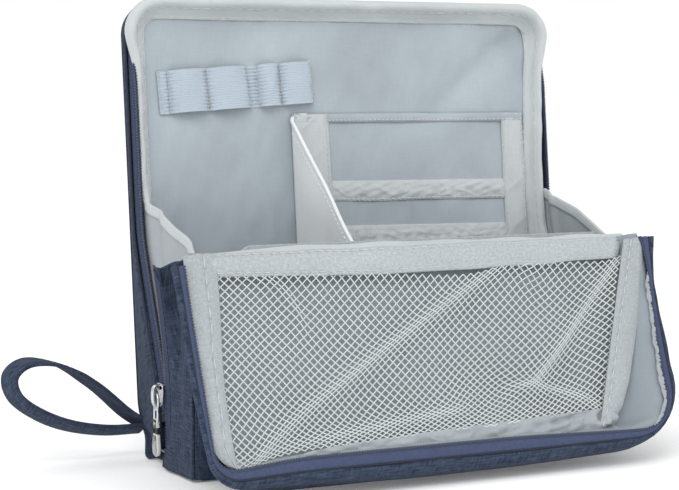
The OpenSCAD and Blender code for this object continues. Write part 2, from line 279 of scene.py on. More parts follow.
# %% Small repeated things: stitches, zip teeth, threads
def beads(centres, ahead, over, length, wide, high):
    """Many low capsules in one shape: each centre gets four rings of six points and two caps."""
    ahead = unit(ahead)
    side = unit(np.cross(over, ahead))
    over = np.cross(ahead, side)
    turn = around(6)
    at, size = np.array([-0.5, -0.32, 0.32, 0.5]), np.array([0.45, 1, 1, 0.45])
    local = np.stack([
        np.repeat(at * length, 6),
        (size[:, None] * np.cos(turn) * wide / 2).ravel(),
        (size[:, None] * np.sin(turn) * high / 2).ravel()], -1)
    basis = np.stack([ahead, side, over], 1)
    p = centres[:, None] + np.einsum("kc,mcd->mkd", local, basis)
    shift = (np.arange(len(centres)) * 24)[:, None, None]
    face = (quads(4, 6, loop_v=True)[:, ::-1][None] + shift).reshape(-1, 4)
    caps = [(np.array(c)[None, None] + shift).reshape(-1, 6)
            for c in ([0, 1, 2, 3, 4, 5], [23, 22, 21, 20, 19, 18])]
    return p.reshape(-1, 3), [face, *caps], np.tile(local[:, :2] * MM, (len(centres), 1))


def stitches(path, over, pitch, length, thread):
    """A row of stitches: capsules of thread at equal steps along a path, lying on the cloth."""
    both = np.concatenate([path, np.broadcast_to(over, np.shape(path))], 1)
    run = distances(path)
    both = read_at(np.arange(pitch / 2, run[-1], pitch), run, both)
    return beads(both[:, :3], np.gradient(both[:, :3], axis=0), both[:, 3:], length, thread, thread)


# The way that most cloth faces, and the way that a rim faces
FRONT, UP = np.array([0.0, -1.0, 0.3]), np.array([0.0, 0.0, 1.0])


def facing(p, way):
    """The grid's normals, all turned to the side that mostly looks that way."""
    n = normals(p)
    return n * np.sign((n @ way).sum())


def line_on(p, share, axis=1, lift=0.6, way=FRONT):
    """The grid line a share of the way across axis, lifted off the side that looks that way."""
    at = share * (p.shape[axis] - 1)
    low = min(int(at), p.shape[axis] - 2)
    line, up = (lerp(np.take(x, low, axis), np.take(x, low + 1, axis), at - low)
                for x in (p, facing(p, way)))
    return line + lift * up, up


def fine_row(p, share, axis=1, lift=0.6, way=FRONT):
    """The close, thin row of stitches that zip tape, cord and ribbon are sewn with."""
    return stitches(*line_on(p, share, axis, lift, way), pitch=3.4, length=2.3, thread=0.5)


def sewn(p, shares, pitch=6.0, depth=0.7, width=1.3, axis=1, way=FRONT, lift=0.55):
    """A strip pressed in along its stitch rows, and the thread in them.

    A row's groove is depth * exp(-(distance / width)^2), and deepest at each needle hole, one
    pitch apart: (0.55 + 0.45 cos(2 pi run / pitch)).
    """
    run, across = runs(np.moveaxis(p, axis, 1))
    press = sum(np.exp(-((across - share * across[:, -1:]) / width) ** 2) for share in shares)
    hole = 0.55 + 0.45 * np.cos(2 * math.pi * run / pitch)
    push = np.moveaxis(depth * np.clip(press, 0, 1) * hole, 1, axis)
    pressed = p - facing(p, way) * push[..., None]
    rows = [stitches(*line_on(pressed, share, axis, lift, way), pitch, pitch * 0.7, 0.7)
            for share in shares]
    return pressed, rows


def teeth(path, over, pitch=1.5, wide=3.0, high=1.7):
    """A zip's coil, seen as its turns: capsules lying across the path at the coil's pitch."""
    count = int(length_of(path) / pitch)
    both = along(np.concatenate([path, np.broadcast_to(over, np.shape(path))], 1), count)
    across = np.cross(both[:, 3:], np.gradient(both[:, :3], axis=0))
    return beads(both[:, :3], across, both[:, 3:], wide, pitch * 0.82, high)


# %% [markdown]
# ## Turning shapes into pieces
# One function makes a mesh from any number of shapes, gives it a finish, and ties it to a body.
# Cloth that crosses a joint is left in place instead of riding on either body.


# %% The piece maker
def piece(name, shapes, finish, body, stands_for=(), bend=None, slot=None):
    """Makes one object in metres from shapes in millimetres, hides the parts it stands for, and ties
    it to its body, or leaves it in place when given a bend.
    """
    slot = slot or SLOT_OF[finish.name]
    points, faces, flat, base = [], [], [], 0
    for shape_points, shape_faces, shape_flat in shapes:
        points.append(shape_points)
        flat.append(shape_flat)
        faces += [row for block in shape_faces for row in (block + base).tolist()]
        base += len(shape_points)
    mesh = bpy.data.meshes.new(name)
    mesh.from_pydata((np.concatenate(points) * MM).tolist(), [], faces)
    corner = np.zeros(len(mesh.loops), np.int32)
    mesh.loops.foreach_get("vertex_index", corner)
    layer = mesh.uv_layers.new(name="UVMap")
    layer.data.foreach_set("uv", np.concatenate(flat)[corner].astype(np.float32).ravel())
    mesh.polygons.foreach_set("use_smooth", np.ones(len(mesh.polygons), bool))
    mesh.materials.append(finish)
    mesh.validate()
    made = bpy.data.objects.new(name, mesh)
    bpy.context.scene.collection.objects.link(made)
    if bend:
        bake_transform(made)
    else:
        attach(made, body)
    if stands_for:
        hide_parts(*stands_for)
    print(f"{name}: {len(mesh.polygons)} faces")
    return made


# %% [markdown]
# ## Finishes
# Every finish reads the flat coordinates, so its pattern is drawn at a real size in millimetres.
# A weave is two sets of threads multiplied together. Slubs, which are thicker spots in the yarn,
# are noise stretched along the threads.


# %% Colour and the one node helper
def srgb(code):
    """An sRGB hex colour as linear red, green, blue and alpha."""
    parts = [int(code[i:i + 2], 16) / 255 for i in (1, 3, 5)]
    return (*[c / 12.92 if c <= 0.04045 else ((c + 0.055) / 1.055) ** 2.4 for c in parts], 1.0)


def add(tree, kind, inputs=None, **settings):
    """Adds a node, sets it, and fills its inputs: a socket is linked and a value is stored."""
    made = tree.nodes.new("ShaderNode" + kind)
    for key, value in settings.items():
        setattr(made, key, value)
    for key, value in (inputs or {}).items():
        if isinstance(value, bpy.types.NodeSocket):
            tree.links.new(value, made.inputs[key])
        else:
            made.inputs[key].default_value = value
    return made


# How far two noises added together usually stray from their mean of 1
NOISE_REACH = 0.225


def wave_scale(pitch):
    """The wave texture's scale whose stripes repeat every pitch: one turn takes 0.314 units."""
    return 2 * math.pi / 20 / pitch


def finish_of(name, rough, **sockets):
    """A bare material with its shader and coordinates, ready for a pattern."""
    made = bpy.data.materials.new(name)
    made.use_nodes = True
    tree = made.node_tree
    shader = tree.nodes["Principled BSDF"]
    shader.inputs["Roughness"].default_value = rough
    for key, value in sockets.items():
        shader.inputs[key.replace("_", " ")].default_value = value
    return made, tree, shader


def woven(name, light, dark, pitch=1.1, slub=0.5, relief=0.12, rough=0.85, twill=0.0, gloss=0.25,
          sheen=0.12, grain=0.06, mottle=0.05, streak=0.12):
    """Woven cloth: threads of that pitch in mm, with yarn that wanders from light to dark.

    A larger slub gives more contrast between light and dark yarn. grain is how much darker the
    gaps between threads are, and mottle how much the tone drifts over some 55 mm of cloth. A small
    streak draws each fleck out along its yarn.
    """
    made, tree, shader = finish_of(name, rough, Sheen_Weight=sheen, Specular_IOR_Level=gloss)
    coords = add(tree, "TexCoord").outputs["UV"]
    size = add(tree, "Mapping", {"Vector": coords, "Scale": (1 / MM,) * 3,
                                 "Rotation": (0, 0, twill)}).outputs[0]
    warp, weft = (add(tree, "TexWave", {"Vector": size, "Scale": wave_scale(pitch),
                                        "Distortion": 0.6, "Detail": 1.0},
                      bands_direction=way).outputs["Fac"] for way in "XY")
    weave = add(tree, "Math", {0: warp, 1: weft}, operation="MULTIPLY").outputs[0]
    yarns = []
    for stretch in ((streak, 0.9, 1), (0.9, streak, 1)):
        pull = add(tree, "Mapping", {"Vector": size, "Scale": stretch}).outputs[0]
        yarns.append(add(tree, "TexNoise", {"Vector": pull, "Scale": 1.0, "Detail": 3.0,
                                            "Roughness": 0.65}).outputs["Fac"])
    yarn = add(tree, "Math", {0: yarns[0], 1: yarns[1]}, operation="ADD").outputs[0]
    half = NOISE_REACH / slub
    spread = add(tree, "MapRange", {"Value": yarn, "From Min": 1.0 - half,
                                    "From Max": 1.0 + half}).outputs[0]
    tone = add(tree, "Mix", {"Factor": spread, 6: srgb(dark), 7: srgb(light)}, data_type="RGBA")
    shade = add(tree, "MapRange", {"Value": weave, "To Min": 1.0 - grain,
                                   "To Max": 1.0 + grain / 2}).outputs[0]
    drift = add(tree, "TexNoise", {"Vector": size, "Scale": 0.018, "Detail": 2.0}).outputs["Fac"]
    wash = add(tree, "MapRange", {"Value": drift, "From Min": 0.3, "From Max": 0.7,
                                  "To Min": 1.0 - mottle, "To Max": 1.0 + mottle}).outputs[0]
    both = add(tree, "Math", {0: shade, 1: wash}, operation="MULTIPLY").outputs[0]
    worn = add(tree, "Mix", {"Factor": 1.0, 6: tone.outputs[2], 7: both},
               data_type="RGBA", blend_type="MULTIPLY")
    tree.links.new(worn.outputs[2], shader.inputs["Base Color"])
    bump = add(tree, "Bump", {"Height": weave, "Strength": relief, "Distance": pitch * MM / 2})
    tree.links.new(bump.outputs[0], shader.inputs["Normal"])
    return made


# %% [markdown]
# The outer fabric is a melange polyester: navy and grey yarns twisted together, so up close it is
# flecked. The lining is smooth polyester taffeta with a very fine weave, drawn a little coarser
# here than it is, because the real threads are too fine to see.

# %% Cloth finishes
ZIP_TAPE = dict(pitch=1.0, slub=0.35, relief=0.3, twill=math.pi / 4, gloss=0.1, sheen=0.03,
                grain=0.1)
SMOOTH = dict(pitch=0.7, slub=0.3, relief=0.05, rough=0.62, grain=0.02)
TAFFETA = dict(pitch=0.7, slub=0.35, relief=0.08, rough=0.65, grain=0.03)
NAVY = woven("melange_polyester", "#4b576d", "#1c2433", pitch=1.2, slub=0.75, relief=0.4,
             gloss=0.1, sheen=0.03, grain=0.12)
TAPE = woven("herringbone_zip_tape", "#535d78", "#3b445f", **ZIP_TAPE)
# A darker copy of the zip tape: painted shade for the tape on the back half and the lower walls,
# which lie in shade.
SHADED_TAPE = woven("herringbone_zip_tape_shaded", "#434d66", "#2e374d", **ZIP_TAPE)
LINING = woven("polyester_taffeta_lining", "#a9b2b8", "#99a3aa", mottle=0.1, **SMOOTH)
# The lining cloth made darker: painted shade for the flap's lining, which lies in shade behind the
# netting.
SHADED_LINING = woven("polyester_taffeta_painted_shade", "#8f989e", "#828b91", mottle=0.07, **SMOOTH)
LIGHT = woven("light_grey_taffeta", "#c2c7c8", "#b0b6b9", **TAFFETA)
# A darker copy of the light grey taffeta. On the gussets, which are cut from the light grey cloth,
# its darkness is painted shade.
GREY_WITH_SHADE = woven("grey_taffeta_with_painted_shade", "#a6abaf", "#949ba0", **TAFFETA)
# The light grey taffeta made paler: painted light on the divider, which stands in shade inside the
# box.
LIT_PALE = woven("pale_grey_taffeta_painted_light", "#e3e5e6", "#d5d9da", **TAFFETA)
MELANGE = woven("light_melange_binding", "#babfc1", "#979ea2", pitch=0.8, slub=0.65, relief=0.15,
                grain=0.03, streak=0.55)
BINDING = woven("grey_melange_binding", "#b1b6b9", "#92999d", pitch=0.8, slub=0.6, relief=0.2,
                grain=0.04, streak=0.5)
ELASTIC = woven("ribbed_elastic", "#b6c2cc", "#a7b4bf", pitch=0.9, slub=0.25, relief=0.25)


# %% Finishes that are not woven
def solid(name, light, dark, grain, rough, **sockets):
    """One material whose tone wanders between two colours over spots of grain millimetres."""
    made, tree, shader = finish_of(name, rough, **sockets)
    where = add(tree, "TexCoord").outputs["Object"]
    noise = add(tree, "TexNoise", {"Vector": where, "Scale": 1 / (grain * MM),
                                   "Detail": 4.0}).outputs["Fac"]
    tone = add(tree, "Mix", {"Factor": noise, 6: srgb(dark), 7: srgb(light)}, data_type="RGBA")
    tree.links.new(tone.outputs[2], shader.inputs["Base Color"])
    wear = add(tree, "MapRange", {"Value": noise, "To Min": rough * 0.7, "To Max": rough * 1.3})
    tree.links.new(wear.outputs[0], shader.inputs["Roughness"])
    return made


COIL = solid("nylon_coil_navy", "#39435a", "#262d3e", 2.0, 0.45)
PALE_COIL = solid("nylon_coil_pale", "#dcdfe0", "#c6cacc", 2.0, 0.45)
NET = solid("knitted_net_yarn", "#dbe0df", "#c5cbcb", 1.5, 0.7)
THREAD = solid("sewing_thread_light", "#c3c7c9", "#aeb3b6", 1.5, 0.8)
SEAM = solid("seam_piping_navy", "#232a3a", "#191e2b", 1.5, 0.8)
ZINC = solid("polished_zinc", "#d8dadc", "#b9bcc0", 3.0, 0.22, Metallic=1.0)
DARK = solid("dark_moulded_band", "#23262b", "#16181c", 3.0, 0.4)
ENAMEL = solid("pale_enamel", "#d5d5ce", "#bfc3c1", 6.0, 0.28)

# The slot that each finish fills, unless a piece names another
SLOTS = {"navy_fabric": (NAVY, SEAM), "navy_tape": (TAPE, SHADED_TAPE), "navy_coil": (COIL, DARK),
         "blue_grey_lining": (LINING, SHADED_LINING), "light_grey_coil": (PALE_COIL,),
         "light_grey_fabric": (LIGHT, GREY_WITH_SHADE, LIT_PALE, MELANGE, BINDING, THREAD),
         "pale_elastic": (ELASTIC,), "white_mesh": (NET,), "bright_metal": (ZINC,),
         "pale_enamel": (ENAMEL,)}
SLOT_OF = {finish.name: slot for slot, group in SLOTS.items() for finish in group}
print("finishes made", len(bpy.data.materials))

# %% [markdown]
# ## The stage
# A pale sweep and large soft lights, so that no edge of shadow competes with the cloth.

# %% Floor, sky and lights
FLOOR = 40.0
FLOOR_DROP = 0.0006
SKY = 1.0
scene = bpy.context.scene
scene.view_settings.view_transform = "Standard"
floor_mesh = bpy.data.meshes.new("floor")
corners = [(-FLOOR, -FLOOR, 0), (FLOOR, -FLOOR, 0), (FLOOR, FLOOR, 0), (-FLOOR, FLOOR, 0)]
floor_mesh.from_pydata(corners, [], [(0, 1, 2, 3)])
floor_mesh.materials.append(solid("studio_paper", "#fdfdfd", "#fafafa", 300.0, 0.9,
                                  Emission_Color=(1, 1, 1, 1), Emission_Strength=0.09))
floor = bpy.data.objects.new("floor", floor_mesh)
floor.location.z = -FLOOR_DROP
scene.collection.objects.link(floor)
floor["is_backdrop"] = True

sky = bpy.data.worlds.new("studio")
sky.use_nodes = True
sky.node_tree.nodes["Background"].inputs["Color"].default_value = (1, 1, 1, 1)
sky.node_tree.nodes["Background"].inputs["Strength"].default_value = SKY
scene.world = sky


def softbox(name, place, aim, size, watts):
    """A square area light at a place in metres, turned to face a point."""
    light = bpy.data.lights.new(name, "AREA")
    light.energy, light.size = watts, size
    made = bpy.data.objects.new(name, light)
    made.location = place
    heading = Vector(aim) - Vector(place)
    made.rotation_euler = heading.to_track_quat("-Z", "Y").to_euler()
    scene.collection.objects.link(made)


softbox("key", (-0.9, -1.1, 1.5), (0, 0, 0.1), 1.2, 14)
softbox("fill", (1.2, -1.2, 0.9), (0, 0, 0.1), 1.4, 2)

# %% [markdown]
# ## The back half
# Its outer cover is a shallow tray: a flat rear panel, and a wall round three sides whose edge
# carries the zip. The wall's edge swings forward near the foot, where the slider parks.


# %% Outlines and depths of the back half
def soft_ramp(t, ease=0.06):
    """A ramp from 0 to 1 with rounded knees: the difference of two softplus curves."""
    return ease * (np.logaddexp(0, t / ease) - np.logaddexp(0, (t - 1) / ease))


def zip_depth(z):
    """Depth of the zip's coil at a height: the rim's, and 25 mm further forward at the foot."""
    return RIM_Y - 25 * soft_ramp((114 - z) / 79)


# Radius and centre height of the rear panel's round foot
FOOT_R, FOOT_Z = 18.0, 29.0


def rear_depth(z):
    """Depth of the rear panel: flat above FOOT_Z, and an arc round the foot below it."""
    return REAR - FOOT_R + FOOT_R * np.cos(np.arcsin(np.clip((FOOT_Z - z) / FOOT_R, 0, 1)))


def u_path(left, right, start, end, radius, side=60, corner=10, across=60):
    """A U: along the left side, round a corner, across the end, round and back.

    A pair of starts or of radii gives the left side's first and the right side's second.
    """
    near, far = np.broadcast_to(radius, 2)
    up, down = (np.linspace(low, end - r, side) for low, r in zip(np.broadcast_to(start, 2),
                                                                  (near, far)))
    turn = np.linspace(0, math.pi / 2, corner + 2)[1:-1]
    low, high = left(up[-1]) + near, right(down[-1]) - far
    return np.concatenate([
        stack(left(up), up),
        stack(low - near * np.cos(turn), end - near + near * np.sin(turn)),
        stack(np.linspace(low, high, across), end),
        stack(high + far * np.sin(turn), end - far + far * np.cos(turn)),
        stack(right(down), down)[::-1]])


def inward(path):
    """Unit normals of a U path that point inside it."""
    ahead = unit(np.gradient(path, axis=0))
    return np.stack([ahead[:, 1], -ahead[:, 0]], 1)


def level(x):
    """A side that stays at the same x all the way."""
    return lambda v: x + 0 * v


BACK_R = 16.0
BACK_U = u_path(level(-HALF_W), level(HALF_W), 4, BACK_H, BACK_R)
print("rim of the back half", round(length_of(BACK_U)), "mm")


def ring_point(inset, depth):
    """Points of the back half's U, that far inside its outline and that deep."""
    p = BACK_U + inward(BACK_U) * np.asarray(inset)[..., None]
    return in_back(p[:, 0], depth, p[:, 1])


def back_half_width(z, inset):
    """Half the panel's width at a height: full below the corners, then following their arcs."""
    up = np.clip((z - (BACK_H - BACK_R)) / (BACK_R - inset), 0, 1)
    return HALF_W - BACK_R + (BACK_R - inset) * np.sqrt(1 - up ** 2)


# %% Rear panel, walls and the seam between them
a, b = grid(60, 90)
foot = [(-1, 3), (-1.4, 13.4)]
arc = [(REAR - FOOT_R + FOOT_R * math.cos(t), FOOT_Z + FOOT_R * math.sin(t))
       for t in np.linspace(-1.05, 0, 12)]
y, z = along(foot + arc + [(REAR, BACK_H - 3)], 90).T
x = (2 * a - 1) * back_half_width(z, 3)
bulge = 0.5 * ripple(x, z, 3, 90) + 0.3 * (1 - (2 * a - 1) ** 2)
rear_cloth = in_back(x, y + bulge, z)[::-1]

# The wall's first quarter rounds the panel's edge, and the rest runs forward to the zip's seam.
EDGE_R, EDGE_SHARE = 3.5, 0.25
count = len(BACK_U)
t = np.linspace(0, 1, 16)
high_z = BACK_U[:, 1]
rear_edge, seam = rear_depth(high_z), zip_depth(high_z) + 9
turn = np.clip(t / EDGE_SHARE, 0, 1) * math.pi / 2
inset = EDGE_R * (1 - np.sin(turn))
reach = np.clip((t - EDGE_SHARE) / (1 - EDGE_SHARE), 0, 1)
wall = []
for i, share in enumerate(reach):
    depth = lerp(rear_edge - EDGE_R + EDGE_R * math.cos(turn[i]), seam, share)
    puff = -0.9 * hump(share) * (1 + 0.4 * ripple(np.arange(count), i * 6, 5, 60))
    wall.append(ring_point(inset[i] + puff, depth))
wall = np.stack(wall, 1)
seams = [tube(line_on(wall, share, way=UP)[0], 0.75, 6) for share in (0.2, 0.97)]
piece("back_cover", [cloth(rear_cloth, OUTER), cloth(wall, OUTER)], NAVY, "back_half",
      ["back_shell", "back_wall_left", "back_wall_right", "back_wall_top", "back_board"])
piece("back_seam_piping", seams, SEAM, "back_half")

# %% Zip tape and coil round the rim
# The zip ends above the foot, where the two halves are sewn together, and its coil sinks under
# the binding near the top.
foot_rows = int((high_z[:count // 2] < 22).sum())
zipped = slice(foot_rows, -foot_rows)
coil_depth = zip_depth(high_z)
tape_grid = np.stack([ring_point(inset, lerp(seam - 1.5, coil_depth, share))
                      for share, inset in ((0, 0.5), (0.3, 0.1), (0.65, 0.1), (1, 0.5))], 1)[zipped]
sunk = 2.0 * smooth((high_z - 190) / 16)
rim_line = ring_point(np.full(count, 0.6), coil_depth - 0.6 + sunk)[zipped]
outwards = (ring_point(np.full(count, -1.0), coil_depth)
            - ring_point(np.zeros(count), coil_depth))[zipped]
# The back half's tape takes the darker copy: painted shade.
piece("back_zip_tape_cloth", [cloth(tape_grid), fine_row(tape_grid, 0.3, way=UP)], SHADED_TAPE,
      "back_half", ["back_zip_tape"])
piece("back_zip_teeth", [tube(rim_line, 0.75, 6), teeth(rim_line, outwards)], COIL, "back_half",
      ["back_zip_coil"])

# %% [markdown]
# ## The padded lining
# Behind the lining lies thin foam, so the panel is slightly crowned. The cloth over it keeps long
# soft creases that run mostly up and down, because it was folded for storage that way.


# %% Lining over foam
def lining_depth(x, z):
    """Depth of the lining's face: a crown, ripples, pressed creases and a dent at the top right."""
    crown = 1.4 * (1 - (x / HALF_W) ** 4) * smooth((BACK_H - z) / 30)
    soft = 0.8 * ripple(x, z, 11, 85, stretch=1.7) + 0.22 * ripple(x, z, 12, 26, stretch=1.5)
    pressed = 0.35 * creases(x, z, 13, 120, stretch=2.2)
    off = (x - 112) * 0.67 - (z - 226) * 0.74
    dent = 4.0 * np.exp(-(off / 8.5) ** 2) * smooth((z - 160) / 35) * smooth((BACK_H - 6 - z) / 14)
    return LINING_Y - 0.4 - crown - soft - pressed + dent


a, b = grid(170, 170)
height = lerp(16.0, BACK_H - 3.5, b)
across = (2 * a - 1) * back_half_width(height, 3.5)
pad_shape = cloth(in_back(across, lining_depth(across, height), height))
pad_rear = in_back(across, rear_depth(height) - 2.0, height).reshape(-1, 3)
pad_shape[0][len(pad_rear):] = pad_rear
pad = piece("back_pad_lining", [pad_shape], LINING, "back_half", ["back_lining", "back_foam"])

# %% [markdown]
# A light binding covers the raw edges where lining and wall meet. It is one strip, sewn twice, so
# it puckers between the stitches.

# %% Binding round the inside
# Over the top it rolls over the rim itself; down the sides it starts inside the zip. Each row says
# how far in or how deep the strip lies at its knots, which are shares of the way across it.
KNOTS = [0, 0.15, 0.3, 0.45, 0.6, 1]
ROLL_DEPTH, ROLL_INSET = [4.0, 0.6, -2.3, -3.4, -2.8, 0], [-2.3, -3.0, -2.4, -0.7, 1.6, 8.0]
SIDE_INSET, SIDE_DEPTH = [0, 0.2, 0.9, 2.0, 3.2, 0], [0, -1.2, -1.9, -2.0, -1.5, 0]
run = np.arange(count) * 3.0
on_right = BACK_U[:, 0] > 0
over_rim = smooth((high_z - 196) / 26)
clear = 1.0 + np.where(on_right, 2.4 * smooth((205 - high_z) / 60),
                       2.2 * smooth((150 - high_z) / 35))
broad = 8.0 + (2 + 4 * smooth((205 - high_z) / 65)) * on_right
rim_at = np.maximum(zip_depth(high_z) + 1.2, RIM_Y - 2)
face_at = lining_depth(BACK_U[:, 0] * 0.95, high_z) - 0.9
bind = []
for share in np.linspace(0, 1, 24):
    roll, roll_in, side_in, side_up = (np.interp(share, KNOTS, row) for row in (
        ROLL_DEPTH, ROLL_INSET, SIDE_INSET, SIDE_DEPTH))
    side = clear + side_in if share < 0.6 else lerp(clear + 3.2, broad, (share - 0.6) / 0.4)
    drop = smooth((share - 0.5) / 0.5)
    depth = lerp(lerp(rim_at + side_up, face_at, drop), lerp(RIM_Y + roll, face_at, drop), over_rim)
    pucker = hump(share) * (0.45 * ripple(run, share * 14, 21, 13)
                            + 0.3 * ripple(run, share * 5, 22, 40))
    bind.append(ring_point(lerp(side, roll_in, over_rim), depth - pucker))
binding, rows = sewn(np.stack(bind, 1)[12:-12], (0.66,), pitch=6.2, depth=0.9, width=1.1)
_, edge_rows = sewn(binding, (0.95,), pitch=6.2, depth=0.0)
piece("back_binding_strip", [cloth(binding[:, ::-1], 0.9)], LIGHT, "back_half", ["back_binding"])
piece("back_binding_stitches", rows + edge_rows, THREAD, "back_half")

# %% [markdown]
# ## Elastic loops
# One band of ribbed elastic is sewn flat in places and left slack between, so it stands off the
# lining as four low arches that grip brushes.

# %% Elastic band
BAND_X, BAND_Z, BAND_TILT, BAND_H = -110.0, 188.0, math.radians(3.6), 22.6
# Along the band its cells are sewn down and slack by turns; cell 4 is sewn down hardest.
EDGES = np.array([0, 6, 26, 28, 50, 57, 68, 70, 88], float)
SLACK, TIGHT = (1, 3, 5, 7), 4
RIB, GATHER = 1.3, 1.9
a, b = grid(200, 100)
run = a * EDGES[-1]
cell_at = np.clip(np.searchsorted(EDGES, run, side="right") - 1, 0, 7)
share = (run - EDGES[cell_at]) / (EDGES[cell_at + 1] - EDGES[cell_at])
arch = np.where(np.isin(cell_at, SLACK), 4.6, 0.35) * hump(share) ** 0.4
arch = np.where(cell_at == TIGHT, -0.1 - 0.7 * hump(share), arch)
x = BAND_X + run * math.cos(BAND_TILT) - (b - 0.5) * BAND_H * math.sin(BAND_TILT)
z = BAND_Z + run * math.sin(BAND_TILT) + (b - 0.5) * BAND_H
from_seam = np.min(np.abs(run[..., None] - EDGES[1:-1]), -1)
pinch = np.where(cell_at == TIGHT, 0.6, 0.3) * np.exp(-(from_seam / 2.6) ** 2)
shirring = pinch * np.sin(2 * math.pi * b * BAND_H / GATHER)
ribs = 0.06 * np.sin(2 * math.pi * b * BAND_H / RIB)
band = in_back(x, lining_depth(x, z) - 0.9 - arch - ribs - shirring, z)
rows = []
for seam_at in EDGES + np.array([1.2, 0.4, 0, 0, 0.6, -0.6, 0, 0, -1.2]):
    for slide in (-0.4, 0.4):
        at = np.clip((seam_at + slide) / EDGES[-1], 0.005, 0.995)
        rows.append(stitches(*line_on(band, at, axis=0), pitch=2.4, length=1.5, thread=0.45))
piece("elastic_loops", [cloth(band, 0.9)], ELASTIC, "back_half", ["elastic_band"])
piece("elastic_stitches", rows, THREAD, "back_half", slot="pale_elastic")

# %% [markdown]
# ## Card pockets
# A backing panel in lining cloth carries a light strip down each side and two gathered bands. The
# bands are cut longer than the panel is wide, which is why they ripple.


# %% Card panel, its strips and its bands
def on_card(x, z, proud):
    """Points standing proud of the lining by that much, where the card pocket is sewn."""
    return in_back(x, lining_depth(x, z) - proud, z)


CARD_L, CARD_R, CARD_LOW, CARD_HIGH = -34.4, 111.0, 42.0, 176.0
IN_L, IN_R = -13.0, 97.0  # the inner edges of the two side strips
a, b = grid(80, 80)
x, z = lerp(CARD_L, CARD_R, a), lerp(CARD_LOW, CARD_HIGH, b)
panel = on_card(x, z, 1.3 + 0.35 * ripple(x, z, 31, 50))
piece("card_panel_cloth", [cloth(panel)], LINING, "back_half", ["card_panel"])
strips, rows = [], []
for low_x, high_x, seed in ((CARD_L, IN_L, 41), (IN_R, CARD_R, 42)):
    a, b = grid(24, 120)
    x, z = lerp(low_x, high_x, a), lerp(CARD_LOW, CARD_HIGH, b)
    crush = 0.9 * hump(a) * (0.7 + 0.8 * ripple(x * 1.6, z * 0.5, seed, 26))
    crush += 0.6 * hump(a) * creases(x, z, seed + 5, 30)
    strip, row = sewn(on_card(x, z, 2.3 + crush), (0.07, 0.93), 3.2, 0.4, axis=0)
    strips.append(cloth(strip))
    rows += row
piece("card_side_strips", strips, LIGHT, "back_half", ["card_side_left", "card_side_right"])
bands = []
for low_z, high_z_band, drop, seed in ((130.5, 141.5, 2.0, 43), (105.0, 118.0, 3.0, 44)):
    a, b = grid(190, 22)
    x, z = lerp(IN_L - 1, IN_R + 1, a), lerp(low_z, high_z_band, b)
    swell = hump(b) * hump(np.clip(a * 12, 0, 0.5)) * hump(np.clip((1 - a) * 12, 0, 0.5))
    gather = swell * (0.8 + 0.3 * ripple(x * 1.5, z * 2.4, seed, 13)
                      + 0.5 * creases(x * 0.8, z * 2.2, seed + 4, 15))
    z = z - drop * (1 + 0.5 * a) + 0.35 * ripple(x, 0 * z, seed + 9, 60) * (1 - b)
    strip, row = sewn(on_card(x, z, 2.0 + gather), (0.1,), 3.2, 0.3)
    bands.append(cloth(strip))
    rows += row
piece("card_gathered_bands", bands, LIGHT, "back_half", ["card_band_upper", "card_band_lower"])
a, b = grid(150, 6)
x, z = lerp(CARD_L, CARD_R, a), lerp(171.5, 176.4, b)
top_hem, row = sewn(on_card(x, z, 2.1 + 0.5 * hump(b)), (0.25,), 2.6, 0.3)
rows += row
piece("card_top_hem", [cloth(top_hem)], LINING, "back_half")
piece("card_stitches", rows, THREAD, "back_half")

# %% [markdown]
# ## The lower front and base
# The box that stands on the table: base, upright front and two side walls that splay towards the
# fold. The wall's rim follows the other half of the same zip.


# %% Lower side walls
def lower_coil(f):
    """The lower zip's coil: x and depth, by the share f of the way from the slider to the fold."""
    f = np.clip(f, 0, 1.05)
    return HALF_W + 1.5 + 17 * f ** 1.5, -1.0 - 28 * f ** 1.5


def extruded(x, profile):
    """A profile of (depth, height) points carried along x."""
    return stack(x, profile[None, :, 0], profile[None, :, 1])


SLIDER_Z = 38.0
WALL_TOP, COIL_TOP = FOLD_Z - 3.5, FOLD_Z - 6
for side, name in ((-1, "left"), (1, "right")):
    a, b = grid(50, 70)
    z = lerp(0.8, WALL_TOP, b)
    coil_x, coil_y = lower_coil((z - SLIDER_Z) / (COIL_TOP - SLIDER_Z))
    rim_x, rim_y = coil_x + 0.3, lerp(coil_y - 7.2, 4.0, 1 - smooth((z - 1) / 24))
    x = lerp(HALF_W + 0.8, rim_x, a ** 1.3) + 0.9 * hump(a) * ripple(a * 60, z, 51, 45)
    y = lerp(FRONT_Y + 0.8, np.maximum(rim_y, FRONT_Y + 4), a)
    z = z - 4.0 * smooth((a - 0.5) / 0.5) * b ** 8
    wall_grid = stack(side * x, y, z)
    wall_grid = wall_grid if side > 0 else wall_grid[:, ::-1]
    piece(f"lower_side_{name}", [cloth(wall_grid, 1.5)], NAVY, "base", [f"lower_wall_{name}"])

    f = np.linspace(-0.42, 1.0, 60)
    height = lerp(SLIDER_Z, COIL_TOP, f)
    coil_x, coil_y = lower_coil(f)
    coil_line = stack(side * (coil_x + 0.3), coil_y, height)
    a, b = grid(4, 60)
    tape = stack(side * (coil_x + 0.4), coil_y - 7.7 + 7.5 * a, height)
    tape = tape if side > 0 else tape[::-1]
    row = fine_row(tape, 0.2 if side > 0 else 0.8, axis=0, way=(side, 0, 0))
    ends = ("base", "back_half", (side * 127, -13, 40), (side * 127, 1, 40))
    # The lower tape takes the darker copy: painted shade.
    piece(f"lower_tape_{name}", [cloth(tape), row], SHADED_TAPE, "base", ["lower_zip_tape"],
          bend=ends)
    piece(f"lower_teeth_{name}",
          [tube(coil_line, 0.75, 6, up=(0, 1, 0)), teeth(coil_line, (side, 0, 0))], COIL, "base",
          ["lower_zip_coil"], bend=ends)

